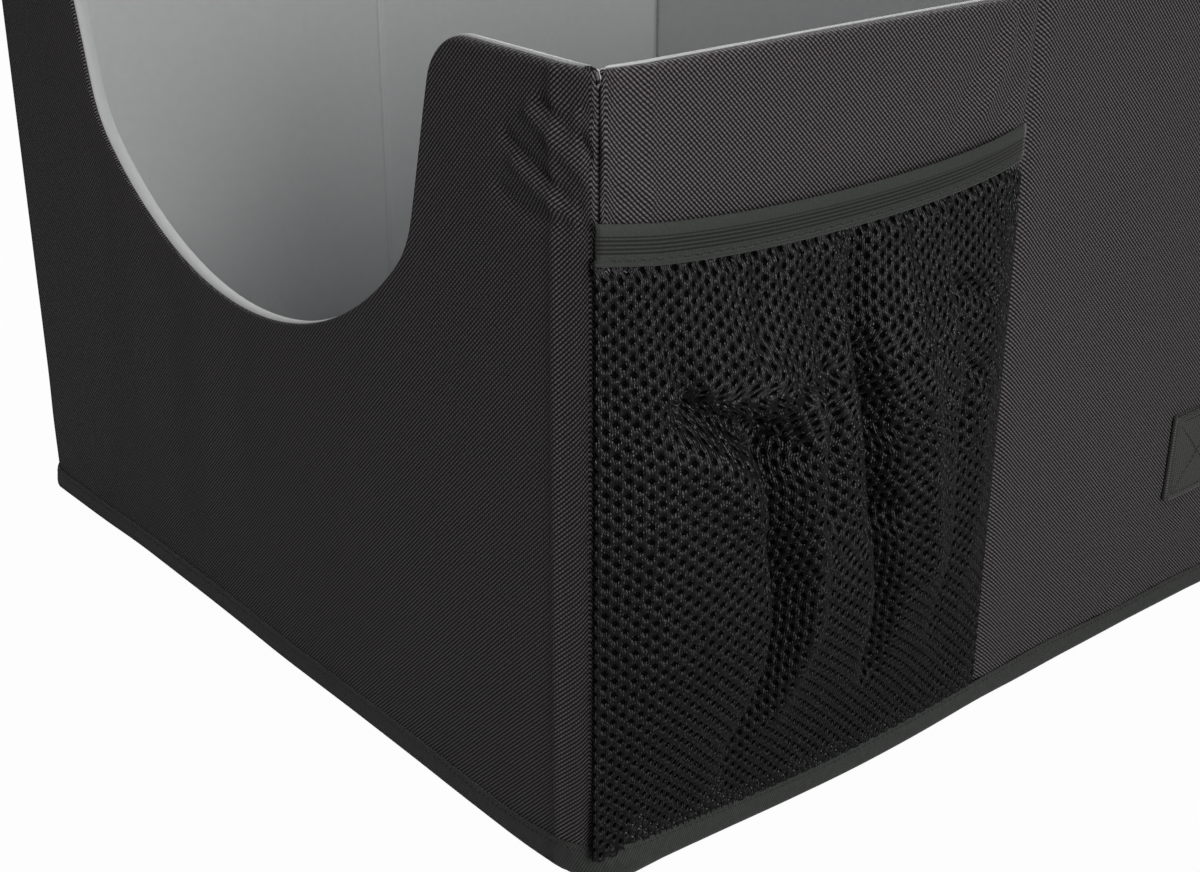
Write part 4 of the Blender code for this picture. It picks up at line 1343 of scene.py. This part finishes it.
class FABRICBOX_OT_straps(bpy.types.Operator):
    """Make the webbing on the side walls, with its end turned under"""

    bl_idname = "fabric_box.straps"
    bl_label = "Straps"

    def execute(self, context):
        trim = context.scene.fabric_box_trim
        finish = strap_webbing(trim)
        width = STRAP_HIGH.z - STRAP_LOW.z
        for name, sign in (("right", 1), ("left", -1)):
            line = strap_line(sign)
            run = run_along(line)
            work = bmesh.new()
            bmesh.ops.create_grid(work, x_segments=110, y_segments=16, size=0.5)
            along, up = np.array([(vert.co.x + 0.5, vert.co.y + 0.5) for vert in work.verts]).T
            reach = along * run[-1]
            set_cloth_map(work, np.stack([reach, up * width], 1))
            x = np.interp(reach, run, line[:, 0])
            y = np.interp(reach, run, line[:, 1])
            lifted = 0.5 * MM * smooth_step((up - 0.9) / 0.1) + 0.25 * MM * np.sin(y * 160 + up * 3)
            z = STRAP_LOW.z + width * up
            for vert, place in zip(work.verts, np.stack([x + sign * lifted, y, z], 1)):
                vert.co = place
            bmesh.ops.recalc_face_normals(work, faces=work.faces)
            piece = new_piece(f"{name}_webbing", work, finish, [f"{name}_strap"],
                              trim.webbing_thickness, offset=0)
        return {"FINISHED"}


def stitch_bead():
    """One stitch as a six-sided bead of radius 1, which sew stretches to its size."""
    work = bmesh.new()
    bmesh.ops.create_uvsphere(work, u_segments=6, v_segments=4, radius=1)
    mesh = bpy.data.meshes.new("stitch_bead")
    work.to_mesh(mesh)
    work.free()
    return mesh


def sew(work, bead, trim, start, end, outward):
    """Lay a stitch between two points, half sunk in the cloth."""
    start, end, outward = Vector(start), Vector(end), Vector(outward).normalized()
    way = end - start
    side = way.cross(outward).normalized()
    turn = Matrix((way.normalized(), side, side.cross(way).normalized())).transposed().to_4x4()
    size = Matrix.Diagonal((way.length / 2, trim.thread_radius * 1.15, trim.thread_radius, 1))
    place = Matrix.Translation((start + end) / 2) @ turn @ size
    bead.transform(place)
    work.from_mesh(bead)
    bead.transform(place.inverted())


def sew_row(work, bead, trim, points, outwards):
    """Stitches in a row along a line of points, each with its outward direction."""
    points, outwards = np.asarray(points, float), np.asarray(outwards, float)
    run = run_along(points)
    for number in range(int(run[-1] / trim.stitch_pitch)):
        reach = number * trim.stitch_pitch
        start, end = ([np.interp(at, run, points[:, axis]) for axis in range(3)]
                      for at in (reach, reach + trim.stitch_length))
        out = [np.interp(reach, run, outwards[:, axis]) for axis in range(3)]
        sew(work, bead, trim, start, end, out)


class FABRICBOX_OT_stitches(bpy.types.Operator):
    """Sew the tape, the elastic, the folds and the straps"""

    bl_idname = "fabric_box.stitches"
    bl_label = "Stitches"

    def execute(self, context):
        trim = context.scene.fabric_box_trim
        thread = sewing_thread(trim)
        bead = stitch_bead()

        # Round the tape, a little below its upper edge
        work = bmesh.new()
        points, normal, _ = tape_path()
        top = tape_height(points)
        stray, rise = tape_stray(points, normal)
        path = np.column_stack([points + normal * (stray[:, None] - 0.68 * MM), top * 0.84 + rise])
        path = np.vstack([path, path[:1]])
        outward = np.column_stack([normal, np.zeros(len(normal))])
        sew_row(work, bead, trim, path, np.vstack([outward, outward[:1]]))
        new_piece("tape_stitches", work, thread, None)

        # Down the folds in the middle of the side walls
        work = bmesh.new()
        for sign in (1, -1):
            up = np.linspace(30 * MM, HEIGHT - 12 * MM, 120)
            across = fold_wander(up)
            x = HALF_WIDTH - fold_relief(across, up, context.scene.fabric_box_cloth.fold_depth) - 0.1 * MM
            path = np.column_stack([sign * x, sign * across, up])
            sew_row(work, bead, trim, path, np.tile([sign, 0, 0], (len(up), 1)))
        new_piece("fold_stitches", work, thread, None)

        # A box with a cross on the turned-under end of each strap, and a row behind it
        work = bmesh.new()
        middle = (STRAP_LOW.z + STRAP_HIGH.z) / 2
        front = STRAP_LOW.y
        for sign in (1, -1):
            for line in STRAP_SEWING:
                spots = np.array(line) * MM
                steps = np.linspace(0, 1, 30)
                y = front + np.interp(steps, [0, 1], spots[:, 0])
                z = middle + np.interp(steps, [0, 1], spots[:, 1])
                x = strap_face(y) + 0.15 * MM
                sew_row(work, bead, trim, np.column_stack([sign * x, y, z]), np.tile([sign, 0, 0], (30, 1)))
        new_piece("strap_stitches", work, thread, None)

        # Slanted stitches along the lower part of the elastic
        work = bmesh.new()
        count = 78
        for number in range(count):
            left = 0.02 + 0.96 * number / count
            right = left + 0.0095
            low, high = (0.86, 0.79) if number % 2 else (0.79, 0.86)
            ends = elastic_face(np.array([left, right]), np.array([low, high]))
            ends[:, 0] += 0.05 * MM
            sew(work, bead, trim, ends[0], ends[1], (1, 0, 0))
        new_piece("elastic_stitches", work, thread, None)
        bpy.data.meshes.remove(bead)
        return {"FINISHED"}


def lamp(name, place, target, size, power):
    """Soft square lamp that faces a point."""
    light = bpy.data.lights.new(name, "AREA")
    light.shape = "SQUARE"
    light.size = size
    light.energy = power
    item = bpy.data.objects.new(name, light)
    item.location = place
    item.rotation_euler = (Vector(target) - Vector(place)).to_track_quat("-Z", "Y").to_euler()
    bpy.context.scene.collection.objects.link(item)
    return item


class FABRICBOX_OT_stage(bpy.types.Operator):
    """Set up the camera, the floor and the lamps"""

    bl_idname = "fabric_box.stage"
    bl_label = "Stage"

    def execute(self, context):
        stage = context.scene.fabric_box_stage
        camera = bpy.data.objects.new("camera", bpy.data.cameras.new("camera"))
        camera.data.lens = stage.lens
        camera.data.sensor_width = 36
        camera.data.shift_y = CAMERA_SHIFT
        camera.matrix_world = (
            Matrix.Translation(CAMERA_PLACE)
            @ Matrix.Rotation(math.radians(CAMERA_AZIMUTH), 4, "Z")
            @ Matrix.Rotation(math.pi / 2 - math.radians(CAMERA_ELEVATION), 4, "X")
            @ Matrix.Rotation(math.radians(CAMERA_ROLL), 4, "Z")
        )
        bpy.context.scene.collection.objects.link(camera)
        bpy.context.scene.camera = camera

        work = bmesh.new()
        bmesh.ops.create_grid(work, x_segments=1, y_segments=1, size=6)
        mesh = bpy.data.meshes.new("studio_floor")
        work.to_mesh(mesh)
        work.free()
        floor = bpy.data.objects.new("studio_floor", mesh)
        bpy.context.scene.collection.objects.link(floor)
        mesh.materials.append(white_sweep())

        middle = (0.1, -0.1, 0.15)
        lamp("key_lamp", (1.95, -0.66, 0.84), middle, 0.8, stage.key_power)
        lamp("front_lamp", (-0.1, -1.35, 2.3), middle, 1.4, stage.front_power)
        lamp("side_lamp", (0.8, -0.30, 1.5), (0.3, -0.1, 0.2), 0.5, stage.side_power)
        lamp("top_lamp", (0, 0.2, 2.4), (0, 0, 0), 1.8, stage.top_power)
        lamp("back_lamp", (-1.2, 1.4, 1.3), middle, 1.4, stage.back_power)

        world = bpy.data.worlds.new("studio")
        bpy.context.scene.world = world
        world.use_nodes = True
        tree = world.node_tree
        tree.nodes.clear()
        rays = add_node(tree, "ShaderNodeLightPath")
        room = add_node(tree, "ShaderNodeBackground", {
            "Color": (1, 1, 1, 1), "Strength": stage.world_strength,
        })
        white = add_node(tree, "ShaderNodeBackground", {"Color": (1, 1, 1, 1), "Strength": 1.0})
        mixed = add_node(tree, "ShaderNodeMixShader", {0: rays.outputs["Is Camera Ray"], 1: room.outputs[0],
                                                       2: white.outputs[0]})
        add_node(tree, "ShaderNodeOutputWorld", {"Surface": mixed.outputs[0]})
        bpy.context.scene.view_settings.view_transform = "Standard"
        return {"FINISHED"}


OPERATORS = (
    FABRICBOX_OT_stage,
    FABRICBOX_OT_covers,
    FABRICBOX_OT_linings,
    FABRICBOX_OT_base,
    FABRICBOX_OT_floor_pad,
    FABRICBOX_OT_binding,
    FABRICBOX_OT_pocket,
    FABRICBOX_OT_elastic,
    FABRICBOX_OT_straps,
    FABRICBOX_OT_stitches,
)


class FABRICBOX_PT_panel(bpy.types.Panel):
    """Lists the box's settings and the steps that make its pieces"""

    bl_idname = "FABRICBOX_PT_panel"
    bl_label = "Fabric storage box"
    bl_space_type = "VIEW_3D"
    bl_region_type = "UI"
    bl_category = "Fabric box"

    def draw(self, context):
        for name, settings in SETTINGS.items():
            box = self.layout.box()
            group = getattr(context.scene, name)
            for setting in settings.__annotations__:
                box.prop(group, setting)
        for operator in OPERATORS:
            self.layout.operator(operator.bl_idname)


SETTINGS = {
    "fabric_box_cloth": FabricBoxCloth,
    "fabric_box_pocket": FabricBoxPocket,
    "fabric_box_trim": FabricBoxTrim,
    "fabric_box_stage": FabricBoxStage,
}
CLASSES = (*SETTINGS.values(), *OPERATORS, FABRICBOX_PT_panel)


def register():
    for item in CLASSES:
        bpy.utils.register_class(item)
    for name, settings in SETTINGS.items():
        setattr(bpy.types.Scene, name, PointerProperty(type=settings))


def unregister():
    for name in SETTINGS:
        delattr(bpy.types.Scene, name)
    for item in reversed(CLASSES):
        bpy.utils.unregister_class(item)


def main():
    register()
    for operator in OPERATORS:
        family, action = operator.bl_idname.split(".")
        getattr(getattr(bpy.ops, family), action)()


if __name__ == "__main__":
    main()
